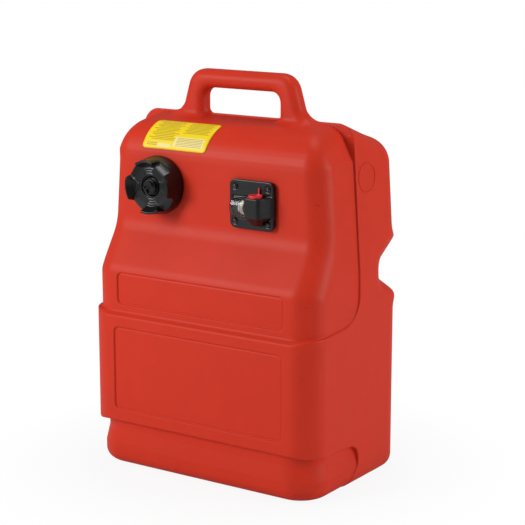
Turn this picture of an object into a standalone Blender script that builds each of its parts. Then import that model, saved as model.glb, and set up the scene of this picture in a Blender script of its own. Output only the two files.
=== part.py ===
"""Portable outboard fuel tank: a moulded can with a screw cap, a fuel fitting and a float gauge.

Lengths are in metres and +Z is up. The origin is the centre of the base, -Y is the front
and +X is the right-hand side seen from the front.
"""
import math

import bmesh
import bpy
from mathutils import Matrix, Vector

MM = 0.001
DEG = math.radians(1)

# Moulded body, overall
WIDTH = 345 * MM
DEPTH = 218 * MM
BODY_HEIGHT = 458 * MM
HANDLE_RISE = 56.3 * MM
WALL = 3.3 * MM
CORNER_RADIUS = 34 * MM
PANEL_CORNER_RADIUS = 29 * MM
TOE_CORNER_RADIUS = 37 * MM
FLOOR_RADIUS = 18 * MM
FLOOR_CORNER_SHARE = 0.4
ROOF_CORNER_SHARE = 0.25
HALF_WIDTH = WIDTH / 2
HALF_DEPTH = DEPTH / 2
HEIGHT = BODY_HEIGHT + HANDLE_RISE

# Raised level seen from the front: taper and crown
TAPER_DROP = 188 * MM
TAPER_RADIUS = 220 * MM
CROWN_IN = 12.5 * MM
CROWN_EDGE_RADIUS = 23 * MM

# Back: roof, eaves and the hand groove
RIDGE_HALF = 3 * MM
ROOF_FALL = 33 * MM
EAVES_RADIUS = 32 * MM
GROOVE_DEPTH = 43 * MM
GROOVE_DROP = 184 * MM
GROOVE_FLOOR_HEIGHT = 14 * MM
GROOVE_SLOPE_RISE = 25 * MM
GROOVE_LIP_RADIUS = 12 * MM
GROOVE_ROOT_RADIUS = 8 * MM

# Recessed level: the front half above and below the belt
PANEL_BACK = 39 * MM
SHELF_BACK = 6 * MM
WAIST_BACK = 7 * MM
TOE_BACK = 3.6 * MM
PANEL_Y = PANEL_BACK - HALF_DEPTH
SHELF_Y = SHELF_BACK - HALF_DEPTH
TOE_RADIUS = 16 * MM
TOE_TOP_Z = 27 * MM
WAIST_Z = 48 * MM
WAIST_RADIUS = 10 * MM
SLOPE_LOW_DROP = 196 * MM
SLOPE_HIGH_DROP = 141 * MM
SLOPE_LIP_RADIUS = 20 * MM
SLOPE_ROOT_RADIUS = 26 * MM
CROWN_DROP = 15 * MM
CROWN_RADIUS = 45 * MM
FLOOR_STEP = 0.5 * MM
SIDE_STEP = 2.7 * MM
TOE_SIDE_STEP = 2.5 * MM
WAIST_SIDE_STEP = 6.2 * MM
TOP_STEP = 3 * MM
SHOULDER_IN = 10.3 * MM
BEVEL_LOW_DROP = 46 * MM
BEVEL_HIGH_DROP = 6.5 * MM
BEVEL_WIDTH = 17.5 * MM
BEVEL_RADIUS = 16 * MM
BEVEL_CROWN_IN = 7 * MM

# Where the raised level ends, seen from the side
STEP_Y = 2 * MM
BELT_TOP_DROP = 256 * MM
BELT_TOP_RISE = 5 * MM
BELT_TOP_FLARE = 12 * MM
BELT_TOP_RADIUS = 34 * MM
BELT_TOP_SHARE = 0.33
BELT_LOW_Z = 62 * MM
BELT_LOW_DROP = 5 * MM
BELT_LOW_FLARE = 9 * MM
BELT_LOW_RADIUS = 18 * MM
BELT_FLARE_Y = -34 * MM
TOE_STEP_Y = -19 * MM
TOE_STEP_RADIUS = 10 * MM
BELT_FLARE_RADIUS = 73 * MM

# Handle, an arch over the ridge
HANDLE_FOOT_HALF = 104 * MM
HANDLE_SIDE_HALF = 89.5 * MM
HANDLE_TOP_HALF = 76.4 * MM
HANDLE_FOOT_DROP = 4.5 * MM
HANDLE_KNEE_RISE = 11.5 * MM
HANDLE_BAR = 23.5 * MM
HANDLE_HOLE_HALF = 57.7 * MM
HANDLE_SHOULDER_RADIUS = 25 * MM
HANDLE_KNEE_RADIUS = 14 * MM
HANDLE_HOLE_RADIUS = 13 * MM
HANDLE_Y = 1.5 * MM
HANDLE_HALF_DEPTH = 13.5 * MM
HANDLE_ROUNDING = 11 * MM
HANDLE_ROOT = 30 * MM
HANDLE_HOLE_SINK = 6 * MM

# Sunk fields on the front, each measured in from the sides of the body
FIELD_SINK = 1.1 * MM
FIELD_CORNER = 9 * MM
LOWER_FIELD_IN = 42 * MM
LOWER_FIELD_LOW_Z = 77 * MM
LOWER_FIELD_DROP = 269.5 * MM
UPPER_FIELD_IN = 44 * MM
UPPER_FIELD_DROP = 199 * MM
UPPER_FIELD_HEIGHT = 43.4 * MM

# Working clearances
SEAT = 0.3 * MM
OVERRUN = 4 * MM
BOND = 0.5 * MM

# Filler neck and screw cap, along an axis square to the front panel
CAP_X = -80.5 * MM
CAP_DROP = 86 * MM
NECK_BORE = 19 * MM
NECK_RADIUS = 22.4 * MM
NECK_HEIGHT = 14 * MM
THREAD_PITCH = 5 * MM
THREAD_DEPTH = 1.6 * MM
THREAD_ROOT_WIDTH = 2.2 * MM
THREAD_CREST_WIDTH = 0.9 * MM
THREAD_TURNS = 1.4
THREAD_PHASE = 5 * DEG
THREAD_START = 4 * MM
THREAD_RADIAL_GAP = 0.4 * MM
INSERT_WALL = 2.2 * MM
INSERT_TOP = 2 * MM
CAP_LIFT_GAP = 0.9 * MM
CAP_GASKET_THICKNESS = 1.6 * MM
CAP_GASKET_IN = 1 * MM
CAP_BASE_RADIUS = 37.3 * MM
CAP_FLANGE_HEIGHT = 6 * MM
CAP_TOP_RADIUS = 34 * MM
CAP_HEIGHT = 30.5 * MM
CAP_EDGE = 1.5 * MM
CAP_DISC = 2.6 * MM
CAP_POCKET_RADIUS = 25.4 * MM
CAP_POCKET_FLARE = 5 * MM
CAP_RING_RADIUS = 18.5 * MM
CAP_RING_STEP = 0.8 * MM
SCOOP_COUNT = 4
SCOOP_HALF_WIDTH = 10.5 * MM
SCOOP_RADIUS = 28.6 * MM
SCOOP_FOOT_RADIUS = 36.6 * MM
SCOOP_FOOT_HEIGHT = 7 * MM
SCOOP_PHASE = 52 * DEG

# Vent in the middle of the cap
VENT_STEM_RADIUS = 3 * MM
VENT_STEM_GAP = 0.5 * MM
VENT_KNOB_RADIUS = 10.5 * MM
VENT_KNOB_HEIGHT = 4 * MM
VENT_BAR_HALF_WIDTH = 1.4 * MM
VENT_BAR_HEIGHT = 1.6 * MM
VENT_RING_THICKNESS = 1.5 * MM
VENT_LIFT = 1.5 * MM
VENT_CLIP_THICKNESS = 1.2 * MM
VENT_CLIP_RADIUS = 5.6 * MM
VENT_CLIP_GROOVE = 0.8 * MM
VENT_TAIL = 1.5 * MM

# Fuel fitting, along an axis square to the front panel
VALVE_X = 63.5 * MM
VALVE_DROP = 97.3 * MM
PLATE_HALF_WIDTH = 32.2 * MM
PLATE_HALF_HEIGHT = 30.4 * MM
PLATE_THICKNESS = 5 * MM
PLATE_CORNER = 8 * MM
GASKET_THICKNESS = 1.5 * MM
GASKET_MARGIN = 0.8 * MM
SCREW_HALF_X = 24.1 * MM
SCREW_HALF_Y = 21.7 * MM
SCREW_RADIUS = 1.9 * MM
SCREW_HOLE_GAP = 0.4 * MM
SCREW_HEAD_RADIUS = 4 * MM
SCREW_HEAD_HEIGHT = 2.6 * MM
SCREW_BELOW_PANEL = 6.2 * MM
SPOT_FACE = 0.5 * MM
SCREW_RECESS = 1.2 * MM
SCREW_RECESS_HALF = 2 * MM
SCREW_BOSS_SHARE = 0.25
INSERT_RADIUS = 3.3 * MM
INSERT_LENGTH = 7.2 * MM
INSERT_BORE_GAP = 0.2 * MM
BOSS_RADIUS = 6.2 * MM
BOSS_DEPTH = 11 * MM

# Hole in the panel and the spigot that fits it
HOLE_LEFT = 26 * MM
HOLE_RIGHT = 21 * MM
HOLE_LOW = 16.5 * MM
HOLE_HIGH = 12.5 * MM
HOLE_CORNER = 6 * MM
SPIGOT_GAP = 0.5 * MM
SPIGOT_DEPTH = 2.4 * MM

# Port housing on the plate
HOUSING_LEFT = 0.8 * MM
HOUSING_RIGHT = 21.8 * MM
HOUSING_FOOT_FLARE = 9 * MM
HOUSING_HIGH = 11.3 * MM
HOUSING_LOW = 12.7 * MM
HOUSING_FRONT = 25.2 * MM
HOUSING_NOSE_LEFT = 6 * MM
HOUSING_NOSE_RIGHT = 15 * MM
HOUSING_NOSE_LOW = 24.5 * MM
HOUSING_NOSE_FRONT = 15 * MM
HOUSING_CHAMFER = 2.5 * MM
HOUSING_CHAMFER_SHARE = 0.33
PORT_X = 12.4 * MM
PORT_OUT = 16.2 * MM
PORT_BORE = 5.5 * MM
PORT_DEPTH = 19 * MM
PASSAGE_Y = -7.5 * MM
PASSAGE_BORE = 2.3 * MM
BARB_RADIUS = 3.5 * MM
BARB_LENGTH = 16 * MM

# Port plug
PLUG_FLANGE_RADIUS = 8.75 * MM
PLUG_FLANGE_THICKNESS = 3.2 * MM
PLUG_STEM_LENGTH = 9 * MM
PLUG_WALL = 1.3 * MM
PLUG_TAB_HALF_WIDTH = 1.6 * MM
PLUG_TAB_THICKNESS = 1.4 * MM
PLUG_TAB_HEIGHT = 8 * MM
PLUG_TAB_IN = 0.7 * MM

# Pickup
TUBE_WALL = 1.3 * MM
TUBE_START = 6 * MM
TUBE_BEND_RADIUS = 16 * MM
TUBE_STANDOFF = 38 * MM
STRAINER_RADIUS = 9 * MM
STRAINER_LENGTH = 27 * MM
STRAINER_FLOOR_GAP = 7 * MM
STRAINER_WALL = 1.6 * MM
STRAINER_GRIP = 9 * MM
STRAINER_SLOTS = 6
STRAINER_SLOT_HALF = 1.6 * MM
STRAINER_SLOT_HEIGHT = 11 * MM

# Gauge: window, drum, pin, lens
DRUM_X = -15.5 * MM
DRUM_Y = -3.5 * MM
DRUM_OUT = 4.5 * MM
DRUM_RADIUS = 9.6 * MM
DRUM_HALF_LENGTH = 7.3 * MM
DRUM_SIDE_GAP = 0.6 * MM
DRUM_SHELL = 1.8 * MM
DRUM_HUB_RADIUS = 3.4 * MM
WINDOW_GAP = 0.8 * MM
PIN_RADIUS = 1.2 * MM
PIN_GAP = 0.08 * MM
PIN_SEAT_GAP = 0.05 * MM
PIN_HOLD = 1.9 * MM
LENS_HALF_WIDTH = 11.2 * MM
LENS_HALF_HEIGHT = 12.7 * MM
LENS_WALL = 1.3 * MM
LENS_SIDE = 4.6 * MM
LENS_CROWN = 9.3 * MM
LENS_GROOVE = 1.2 * MM
LENS_SEAL = 0.9 * MM
SCALE_WIDTH = 1.4 * MM
SCALE_THICKNESS = 0.8 * MM

# Float arm, angles measured in the side view from straight back into the tank, positive up
ARM_RADIUS = 1.25 * MM
ARM_SOCKET_GAP = 0.3 * MM
ARM_SOCKET = 3.6 * MM
ARM_STUB_ANGLE = -48 * DEG
ARM_STUB = 27 * MM
ARM_REACH = 142 * MM
ARM_BEND_RADIUS = 5 * MM
ARM_REST_ANGLE = -88 * DEG
FLOAT_RADIUS = 13 * MM
FLOAT_HALF_LENGTH = 21 * MM
FLOAT_EDGE = 2.5 * MM
FLOAT_SOCKET = 14 * MM

# Label on the crown
LABEL_LEFT = -110 * MM
LABEL_WIDTH = 98.5 * MM
LABEL_SKEW = 6 * MM
LABEL_THICKNESS = 0.3 * MM
LABEL_LOW_ANGLE = 15 * DEG
LABEL_HIGH_ANGLE = 73 * DEG

# Fineness of the mesh
ROUND_STEPS = 4
CORNER_STEPS = 4
CAVITY_STEPS = 3
LENS_CORNER_STEPS = 2
CAP_SEGMENTS = 40
ROUND_SEGMENTS = 20
SMALL_SEGMENTS = 12
RING_STEPS = 6
LEVEL_MERGE = 3.2 * MM
CAVITY_LEVEL_MERGE = 7 * MM
LEVEL_SLACK = 0.03 * MM
SMOOTH_ANGLE = 35 * DEG

CROWN_Z = BODY_HEIGHT - CROWN_DROP
TAPER_Z = BODY_HEIGHT - TAPER_DROP
SLOPE_LOW_Z = BODY_HEIGHT - SLOPE_LOW_DROP
SLOPE_HIGH_Z = BODY_HEIGHT - SLOPE_HIGH_DROP
GROOVE_FLOOR_HIGH_Z = BODY_HEIGHT - GROOVE_DROP
GROOVE_FLOOR_LOW_Z = GROOVE_FLOOR_HIGH_Z - GROOVE_FLOOR_HEIGHT
BELT_TOP_Z = BODY_HEIGHT - BELT_TOP_DROP
UPPER_FIELD_TOP_Z = BODY_HEIGHT - UPPER_FIELD_DROP
HANDLE_FOOT_Z = BODY_HEIGHT - HANDLE_FOOT_DROP
TO_THE_FRONT = Matrix.Rotation(math.pi / 2, 4, "X")
FILLER = Matrix.Translation((CAP_X, PANEL_Y, BODY_HEIGHT - CAP_DROP)) @ TO_THE_FRONT
VALVE = Matrix.Translation((VALVE_X, PANEL_Y, BODY_HEIGHT - VALVE_DROP)) @ TO_THE_FRONT
PLATE_BACK = GASKET_THICKNESS + 2 * SEAT
PLATE_FRONT = PLATE_BACK + PLATE_THICKNESS


def make_material(name, colour, roughness, metallic=0.0, alpha=1.0):
    material = bpy.data.materials.new(name)
    material.use_nodes = True
    shader = material.node_tree.nodes["Principled BSDF"]
    shader.inputs["Base Color"].default_value = (*colour, 1.0)
    shader.inputs["Roughness"].default_value = roughness
    shader.inputs["Metallic"].default_value = metallic
    shader.inputs["Alpha"].default_value = alpha
    return material


def make_object(name, points, faces, frame=Matrix.Identity(4)):
    """A closed mesh object from points and faces, triangulated, with its faces turned out."""
    mesh = bpy.data.meshes.new(name)
    mesh.from_pydata([tuple(point) for point in points], [], faces)
    work = bmesh.new()
    work.from_mesh(mesh)
    bmesh.ops.triangulate(work, faces=work.faces)
    bmesh.ops.recalc_face_normals(work, faces=work.faces)
    work.to_mesh(mesh)
    work.free()
    thing = bpy.data.objects.new(name, mesh)
    bpy.context.collection.objects.link(thing)
    thing.matrix_world = frame
    return thing


def combine(target, tool, operation):
    """Apply one exact Boolean to target's mesh and remove the tool."""
    modifier = target.modifiers.new(operation, "BOOLEAN")
    modifier.operation = operation
    modifier.object = tool
    graph = bpy.context.evaluated_depsgraph_get()
    result = bpy.data.meshes.new_from_object(target.evaluated_get(graph))
    target.modifiers.remove(modifier)
    old = target.data
    target.data = result
    result.name = target.name
    bpy.data.meshes.remove(old)
    bpy.data.objects.remove(tool)
    return target


def cut(target, *tools):
    for tool in tools:
        combine(target, tool, "DIFFERENCE")
    return target


def fuse(target, *tools):
    for tool in tools:
        combine(target, tool, "UNION")
    return target


def keep(target, tool):
    return combine(target, tool, "INTERSECT")


def finish(thing, name, colour, roughness, metallic=0.0, alpha=1.0):
    """Name a finished piece, give it its material and shade its round faces smooth."""
    thing.name = name
    thing.data.name = name
    thing.data.materials.clear()
    thing.data.materials.append(make_material(name, colour, roughness, metallic, alpha))
    thing.data.shade_smooth()
    thing.data.set_sharp_from_angle(angle=SMOOTH_ANGLE)
    return thing


def stitch(rings, closed=False):
    """Points and faces of a skin over rings of equal length, with flat ends unless closed."""
    count = len(rings[0])
    points = [point for ring in rings for point in ring]
    faces = []
    pairs = len(rings) if closed else len(rings) - 1
    for row in range(pairs):
        here, there = row * count, (row + 1) % len(rings) * count
        for index in range(count):
            after = (index + 1) % count
            faces.append((here + index, here + after, there + after, there + index))
    if not closed:
        faces.append(tuple(range(count)))
        faces.append(tuple(range(len(points) - count, len(points))))
    return points, faces


def rounded(corners, steps=ROUND_STEPS):
    """A closed outline from (a, b, radius) corners, each turned into an arc."""
    outline = []
    for index, (a, b, radius) in enumerate(corners):
        corner = Vector((a, b))
        before = Vector(corners[index - 1][:2]) - corner
        after = Vector(corners[(index + 1) % len(corners)][:2]) - corner
        if not radius:
            outline.append(corner)
            continue
        half = before.angle(after) / 2
        middle = corner + (before.normalized() + after.normalized()).normalized() * radius / math.sin(half)
        start = corner + before.normalized() * radius / math.tan(half) - middle
        turn = start.angle_signed(corner + after.normalized() * radius / math.tan(half) - middle)
        for step in range(steps + 1):
            outline.append(middle + Matrix.Rotation(-turn * step / steps, 2) @ start)
    return outline


def inset(outline, distance):
    """Move a counter-clockwise outline inwards by a distance."""
    moved = []
    for index, point in enumerate(outline):
        before = (point - outline[index - 1]).normalized()
        after = (outline[(index + 1) % len(outline)] - point).normalized()
        one, two = Vector((-before.y, before.x)), Vector((-after.y, after.x))
        moved.append(point + (one + two) * distance / (1 + one.dot(two)))
    return moved


def span(outline, level):
    """Least and greatest a of an outline where b is at the level."""
    found = []
    slack = LEVEL_SLACK
    for index, point in enumerate(outline):
        other = outline[index - 1]
        low, high = sorted((point, other), key=lambda item: item.y)
        if not low.y - slack <= level <= high.y + slack:
            continue
        if high.y - low.y < slack:
            found += [low.x, high.x]
        else:
            share = min(max((level - low.y) / (high.y - low.y), 0), 1)
            found.append(low.x + (high.x - low.x) * share)
    return min(found), max(found)


def rectangle(left, right, low, high, radius, steps=CAVITY_STEPS):
    """A rounded rectangle outline, counter-clockwise."""
    return rounded([(left, low, radius), (right, low, radius), (right, high, radius),
                    (left, high, radius)], steps)


def extrude(name, outline, low, high, frame=Matrix.Identity(4)):
    """An outline in the frame's XY plane, pulled from low to high along its Z."""
    rings = [[Vector((point.x, point.y, level)) for point in outline] for level in (low, high)]
    return make_object(name, *stitch(rings), frame)


def lathe(name, profile, frame=Matrix.Identity(4), segments=ROUND_SEGMENTS):
    """A closed (radius, height) profile turned about the frame's Z, with its own bore."""
    rings = []
    for step in range(segments):
        angle = math.tau * step / segments
        rings.append([Vector((radius * math.cos(angle), radius * math.sin(angle), height))
                      for radius, height in profile])
    return make_object(name, *stitch(rings, closed=True), frame)


def stack(name, profile, frame=Matrix.Identity(4), segments=ROUND_SEGMENTS):
    """A solid turned from (radius, height) stations, with flat ends."""
    rings = []
    for radius, height in profile:
        rings.append([Vector((radius * math.cos(math.tau * step / segments),
                              radius * math.sin(math.tau * step / segments), height))
                      for step in range(segments)])
    return make_object(name, *stitch(rings), frame)


def sweep(name, path, radius, segments=SMALL_SEGMENTS, frame=Matrix.Identity(4)):
    """A round bar along a path that lies in one plane of constant X."""
    rings = []
    for index, point in enumerate(path):
        before = path[max(index - 1, 0)]
        after = path[min(index + 1, len(path) - 1)]
        along = ((point - before).normalized() + (after - point).normalized()).normalized()
        side = Vector((1, 0, 0))
        other = along.cross(side)
        ring = []
        for step in range(segments):
            angle = math.tau * step / segments
            ring.append(point + side * radius * math.cos(angle) + other * radius * math.sin(angle))
        rings.append(ring)
    return make_object(name, *stitch(rings), frame)


def bend(start, corner, end, radius, steps):
    """Path from start to end with one rounded corner, in a plane of constant X."""
    turn = rounded([(start.y, start.z, 0), (corner.y, corner.z, radius), (end.y, end.z, 0)], steps)
    return [Vector((start.x, point.x, point.y)) for point in turn]


def helix(name, radius, frame, outward=True, phase=THREAD_PHASE):
    """A screw thread ridge on a wall of the given radius."""
    steps = round(THREAD_TURNS * ROUND_SEGMENTS)
    sign = 1 if outward else -1
    root, crest = radius - sign * BOND, radius + sign * THREAD_DEPTH
    rings = []
    for step in range(steps + 1):
        turn = step / ROUND_SEGMENTS
        angle = math.tau * turn + phase
        height = THREAD_START + THREAD_PITCH * turn
        profile = ((root, -THREAD_ROOT_WIDTH / 2), (crest, -THREAD_CREST_WIDTH / 2),
                   (crest, THREAD_CREST_WIDTH / 2), (root, THREAD_ROOT_WIDTH / 2))
        rings.append([Vector((reach * math.cos(angle), reach * math.sin(angle), height + rise))
                      for reach, rise in profile])
    return make_object(name, *stitch(rings), frame)


def raised_side():
    """Side outline (y, z) of the raised level."""
    floor_y = HALF_DEPTH - GROOVE_DEPTH
    return rounded([
        (-HALF_DEPTH, 0, FLOOR_RADIUS),
        (HALF_DEPTH, 0, FLOOR_RADIUS),
        (HALF_DEPTH, GROOVE_FLOOR_LOW_Z - GROOVE_SLOPE_RISE, GROOVE_LIP_RADIUS),
        (floor_y, GROOVE_FLOOR_LOW_Z, GROOVE_ROOT_RADIUS),
        (floor_y, GROOVE_FLOOR_HIGH_Z, GROOVE_ROOT_RADIUS),
        (HALF_DEPTH, GROOVE_FLOOR_HIGH_Z + GROOVE_SLOPE_RISE, GROOVE_LIP_RADIUS),
        (HALF_DEPTH, BODY_HEIGHT - ROOF_FALL, EAVES_RADIUS),
        (RIDGE_HALF, BODY_HEIGHT, 0),
        (-RIDGE_HALF, BODY_HEIGHT, 0),
        (PANEL_Y, CROWN_Z + TOP_STEP, CROWN_RADIUS),
        (PANEL_Y, SLOPE_HIGH_Z, SLOPE_ROOT_RADIUS),
        (-HALF_DEPTH, SLOPE_LOW_Z, SLOPE_LIP_RADIUS),
    ])


def recessed_side():
    """Side outline (y, z) of the recessed level, inside the raised one at the back."""
    floor_y = HALF_DEPTH - GROOVE_DEPTH - SIDE_STEP
    back = HALF_DEPTH - SIDE_STEP
    return rounded([
        (TOE_BACK - HALF_DEPTH, FLOOR_STEP, TOE_RADIUS),
        (back, FLOOR_STEP, FLOOR_RADIUS),
        (back, GROOVE_FLOOR_LOW_Z - GROOVE_SLOPE_RISE, GROOVE_LIP_RADIUS),
        (floor_y, GROOVE_FLOOR_LOW_Z, GROOVE_ROOT_RADIUS),
        (floor_y, GROOVE_FLOOR_HIGH_Z, GROOVE_ROOT_RADIUS),
        (back, GROOVE_FLOOR_HIGH_Z + GROOVE_SLOPE_RISE, GROOVE_LIP_RADIUS),
        (back, BODY_HEIGHT - TOP_STEP - ROOF_FALL, EAVES_RADIUS),
        (RIDGE_HALF, BODY_HEIGHT - TOP_STEP, 0),
        (-RIDGE_HALF, BODY_HEIGHT - TOP_STEP, 0),
        (PANEL_Y, CROWN_Z, CROWN_RADIUS),
        (PANEL_Y, SLOPE_HIGH_Z, SLOPE_ROOT_RADIUS),
        (SHELF_Y, SLOPE_LOW_Z, SLOPE_LIP_RADIUS),
        (WAIST_BACK - HALF_DEPTH, WAIST_Z, WAIST_RADIUS),
        (TOE_BACK - HALF_DEPTH, TOE_TOP_Z, WAIST_RADIUS),
    ])


def mirrored(right_half):
    """A closed outline from the (x, z, radius) corners of its right half, base to top."""
    left_half = [(-a, b, radius) for a, b, radius in reversed(right_half)]
    return rounded(right_half + left_half)


def raised_front():
    """Front outline (x, z) of the raised level."""
    return mirrored([
        (HALF_WIDTH, 0, FLOOR_RADIUS),
        (HALF_WIDTH, TAPER_Z, TAPER_RADIUS),
        (HALF_WIDTH - CROWN_IN, BODY_HEIGHT, CROWN_EDGE_RADIUS),
    ])


def recessed_front():
    """Front outline (x, z) of the recessed level, with bevelled shoulders."""
    side = HALF_WIDTH - SIDE_STEP
    shoulder = side - SHOULDER_IN
    return mirrored([
        (HALF_WIDTH - TOE_SIDE_STEP, FLOOR_STEP, TOE_RADIUS),
        (HALF_WIDTH - TOE_SIDE_STEP, TOE_TOP_Z, WAIST_RADIUS),
        (HALF_WIDTH - WAIST_SIDE_STEP, WAIST_Z, WAIST_RADIUS),
        (side, BELT_TOP_Z, 0),
        (side, TAPER_Z, TAPER_RADIUS),
        (shoulder, BODY_HEIGHT - BEVEL_LOW_DROP, BEVEL_RADIUS),
        (shoulder - BEVEL_WIDTH, BODY_HEIGHT - BEVEL_HIGH_DROP, BEVEL_RADIUS),
        (shoulder - BEVEL_WIDTH - BEVEL_CROWN_IN, BODY_HEIGHT - TOP_STEP, 0),
    ])


def corner_radius(level, low_radius, high_radius):
    """Radius of the upright corners at a level, from the base's past the belt's to the panel's."""
    rise = min(max((level - SLOPE_LOW_Z) / (SLOPE_HIGH_Z - SLOPE_LOW_Z), 0), 1)
    sink = min(max((BELT_TOP_Z - level) / (BELT_TOP_Z - BELT_LOW_Z), 0), 1)
    return CORNER_RADIUS + (high_radius - CORNER_RADIUS) * rise + (low_radius - CORNER_RADIUS) * sink


def block(name, side, front, radii, depth_in):
    """The body inside a side and a front outline, with upright corners of low and high radii."""
    merge, steps = (CAVITY_LEVEL_MERGE, CAVITY_STEPS) if depth_in else (LEVEL_MERGE, CORNER_STEPS)
    side, front = inset(side, depth_in), inset(front, depth_in)
    low = max(min(point.y for point in side), min(point.y for point in front))
    high = min(max(point.y for point in side), max(point.y for point in front))
    levels = []
    for level in sorted({min(max(point.y, low), high) for point in side + front}):
        if not levels or level - levels[-1] > merge:
            levels.append(level)
    levels[-1] = high
    rings = []
    for level in levels:
        near, far = span(side, level)
        half = span(front, level)[1]
        radius = corner_radius(level, *radii) - depth_in
        if level < FLOOR_RADIUS:
            radius -= (HALF_WIDTH - depth_in - half) * FLOOR_CORNER_SHARE
        radius = min(radius, (far - near) * ROOF_CORNER_SHARE)
        ring = rectangle(-half, half, near, far, radius, steps)
        rings.append([Vector((point.x, point.y, level)) for point in ring])
    return make_object(name, *stitch(rings))


def raised_region(name, depth_in):
    """Prism across the tank that bounds the raised level: the back half and the belt."""
    front = -DEPTH
    top, bottom = HEIGHT + DEPTH, -DEPTH
    outline = rounded([
        (DEPTH, bottom, 0), (DEPTH, top, 0), (STEP_Y, top, 0),
        (STEP_Y, BELT_TOP_Z + BELT_TOP_RISE + BELT_TOP_FLARE, BELT_TOP_RADIUS),
        (BELT_FLARE_Y, BELT_TOP_Z + BELT_TOP_RISE + BELT_TOP_FLARE * BELT_TOP_SHARE, BELT_FLARE_RADIUS),
        (SHELF_Y, BELT_TOP_Z + BELT_TOP_RISE, 0),
        (-HALF_DEPTH, BELT_TOP_Z, 0),
        (front, BELT_TOP_Z - BELT_TOP_RISE, 0), (front, BELT_LOW_Z + BELT_LOW_DROP, 0),
        (-HALF_DEPTH, BELT_LOW_Z, 0),
        (SHELF_Y, BELT_LOW_Z - BELT_LOW_DROP / 2, 0),
        (BELT_FLARE_Y, BELT_LOW_Z - BELT_LOW_DROP, BELT_FLARE_RADIUS),
        (STEP_Y, BELT_LOW_Z - BELT_LOW_FLARE, BELT_LOW_RADIUS),
        (STEP_Y, TOE_TOP_Z, TOE_STEP_RADIUS), (TOE_STEP_Y, 0, 0), (TOE_STEP_Y, bottom, 0),
    ], CORNER_STEPS)
    outline = inset(outline, depth_in)
    rings = [[Vector((across, point.x, point.y)) for point in outline] for across in (-WIDTH, WIDTH)]
    return make_object(name, *stitch(rings))


def rounding_profile(half, rounding, steps):
    """(inset, depth) stations from the front face to the back face of a round-edged slab."""
    stations = []
    for step in range(steps + 1):
        angle = math.pi / 2 * step / steps
        stations.append((rounding * (1 - math.sin(angle)), -half + rounding * (1 - math.cos(angle))))
    return stations + [(shift, -depth) for shift, depth in reversed(stations)]


def upright_rings(outline, stations):
    """Rings of a front outline (x, z), each inset and set at a depth along Y."""
    return [[Vector((point.x, depth, point.y)) for point in inset(outline, shift)]
            for shift, depth in stations]


def handle_block(name, depth_in):
    """The round-edged handle arch, with its feet sunk into the body."""
    low, top = HANDLE_FOOT_Z - HANDLE_ROOT, HEIGHT
    right = [
        (HANDLE_FOOT_HALF, low, 0),
        (HANDLE_FOOT_HALF, HANDLE_FOOT_Z, 0),
        (HANDLE_SIDE_HALF, BODY_HEIGHT + HANDLE_KNEE_RISE, HANDLE_KNEE_RADIUS),
        (HANDLE_TOP_HALF, top, HANDLE_SHOULDER_RADIUS),
    ]
    outer = inset(mirrored(right), depth_in)
    hole = inset(rectangle(-HANDLE_HOLE_HALF, HANDLE_HOLE_HALF, HANDLE_FOOT_Z - HANDLE_HOLE_SINK,
                           HEIGHT - HANDLE_BAR, HANDLE_HOLE_RADIUS), -depth_in)
    half, rounding = HANDLE_HALF_DEPTH - depth_in, HANDLE_ROUNDING - depth_in
    stations = rounding_profile(half, rounding, CAVITY_STEPS - 1 if depth_in else CAVITY_STEPS)
    arch = make_object(name, *stitch(upright_rings(outer, stations)))
    flare = [(-shift, depth) for shift, depth in stations]
    flare = [(-rounding, -half - OVERRUN)] + flare + [(-rounding, half + OVERRUN)]
    cut(arch, make_object("opening", *stitch(upright_rings(hole, flare))))
    arch.matrix_world = Matrix.Translation((0, HANDLE_Y, 0))
    return arch


def can(name, depth_in):
    """The whole moulded form, set in by a distance: zero for the outside, a wall for the inside."""
    body = block(name, raised_side(), raised_front(), (CORNER_RADIUS, CORNER_RADIUS), depth_in)
    keep(body, raised_region("region", depth_in))
    radii = (TOE_CORNER_RADIUS, PANEL_CORNER_RADIUS)
    fuse(body, block("recessed", recessed_side(), recessed_front(), radii, depth_in))
    return fuse(body, handle_block("handle", depth_in))


def sunk_field(side_in, low, high, face_y):
    """Cutter for a shallow rounded-rectangle field sunk into a front face."""
    outline = rectangle(side_in - HALF_WIDTH, HALF_WIDTH - side_in, low, high, FIELD_CORNER)
    return extrude("field", outline, -face_y - FIELD_SINK, -face_y + OVERRUN, TO_THE_FRONT)


def screw_places():
    return [(x, y) for y in (SCREW_HALF_Y, -SCREW_HALF_Y) for x in (-SCREW_HALF_X, SCREW_HALF_X)]


def valve_frame(x, y, out=0.0):
    return VALVE @ Matrix.Translation((x, y, out))


def hole_outline(gap):
    return rectangle(-HOLE_LEFT + gap, HOLE_RIGHT - gap, -HOLE_LOW + gap, HOLE_HIGH - gap,
                     HOLE_CORNER)


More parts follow.
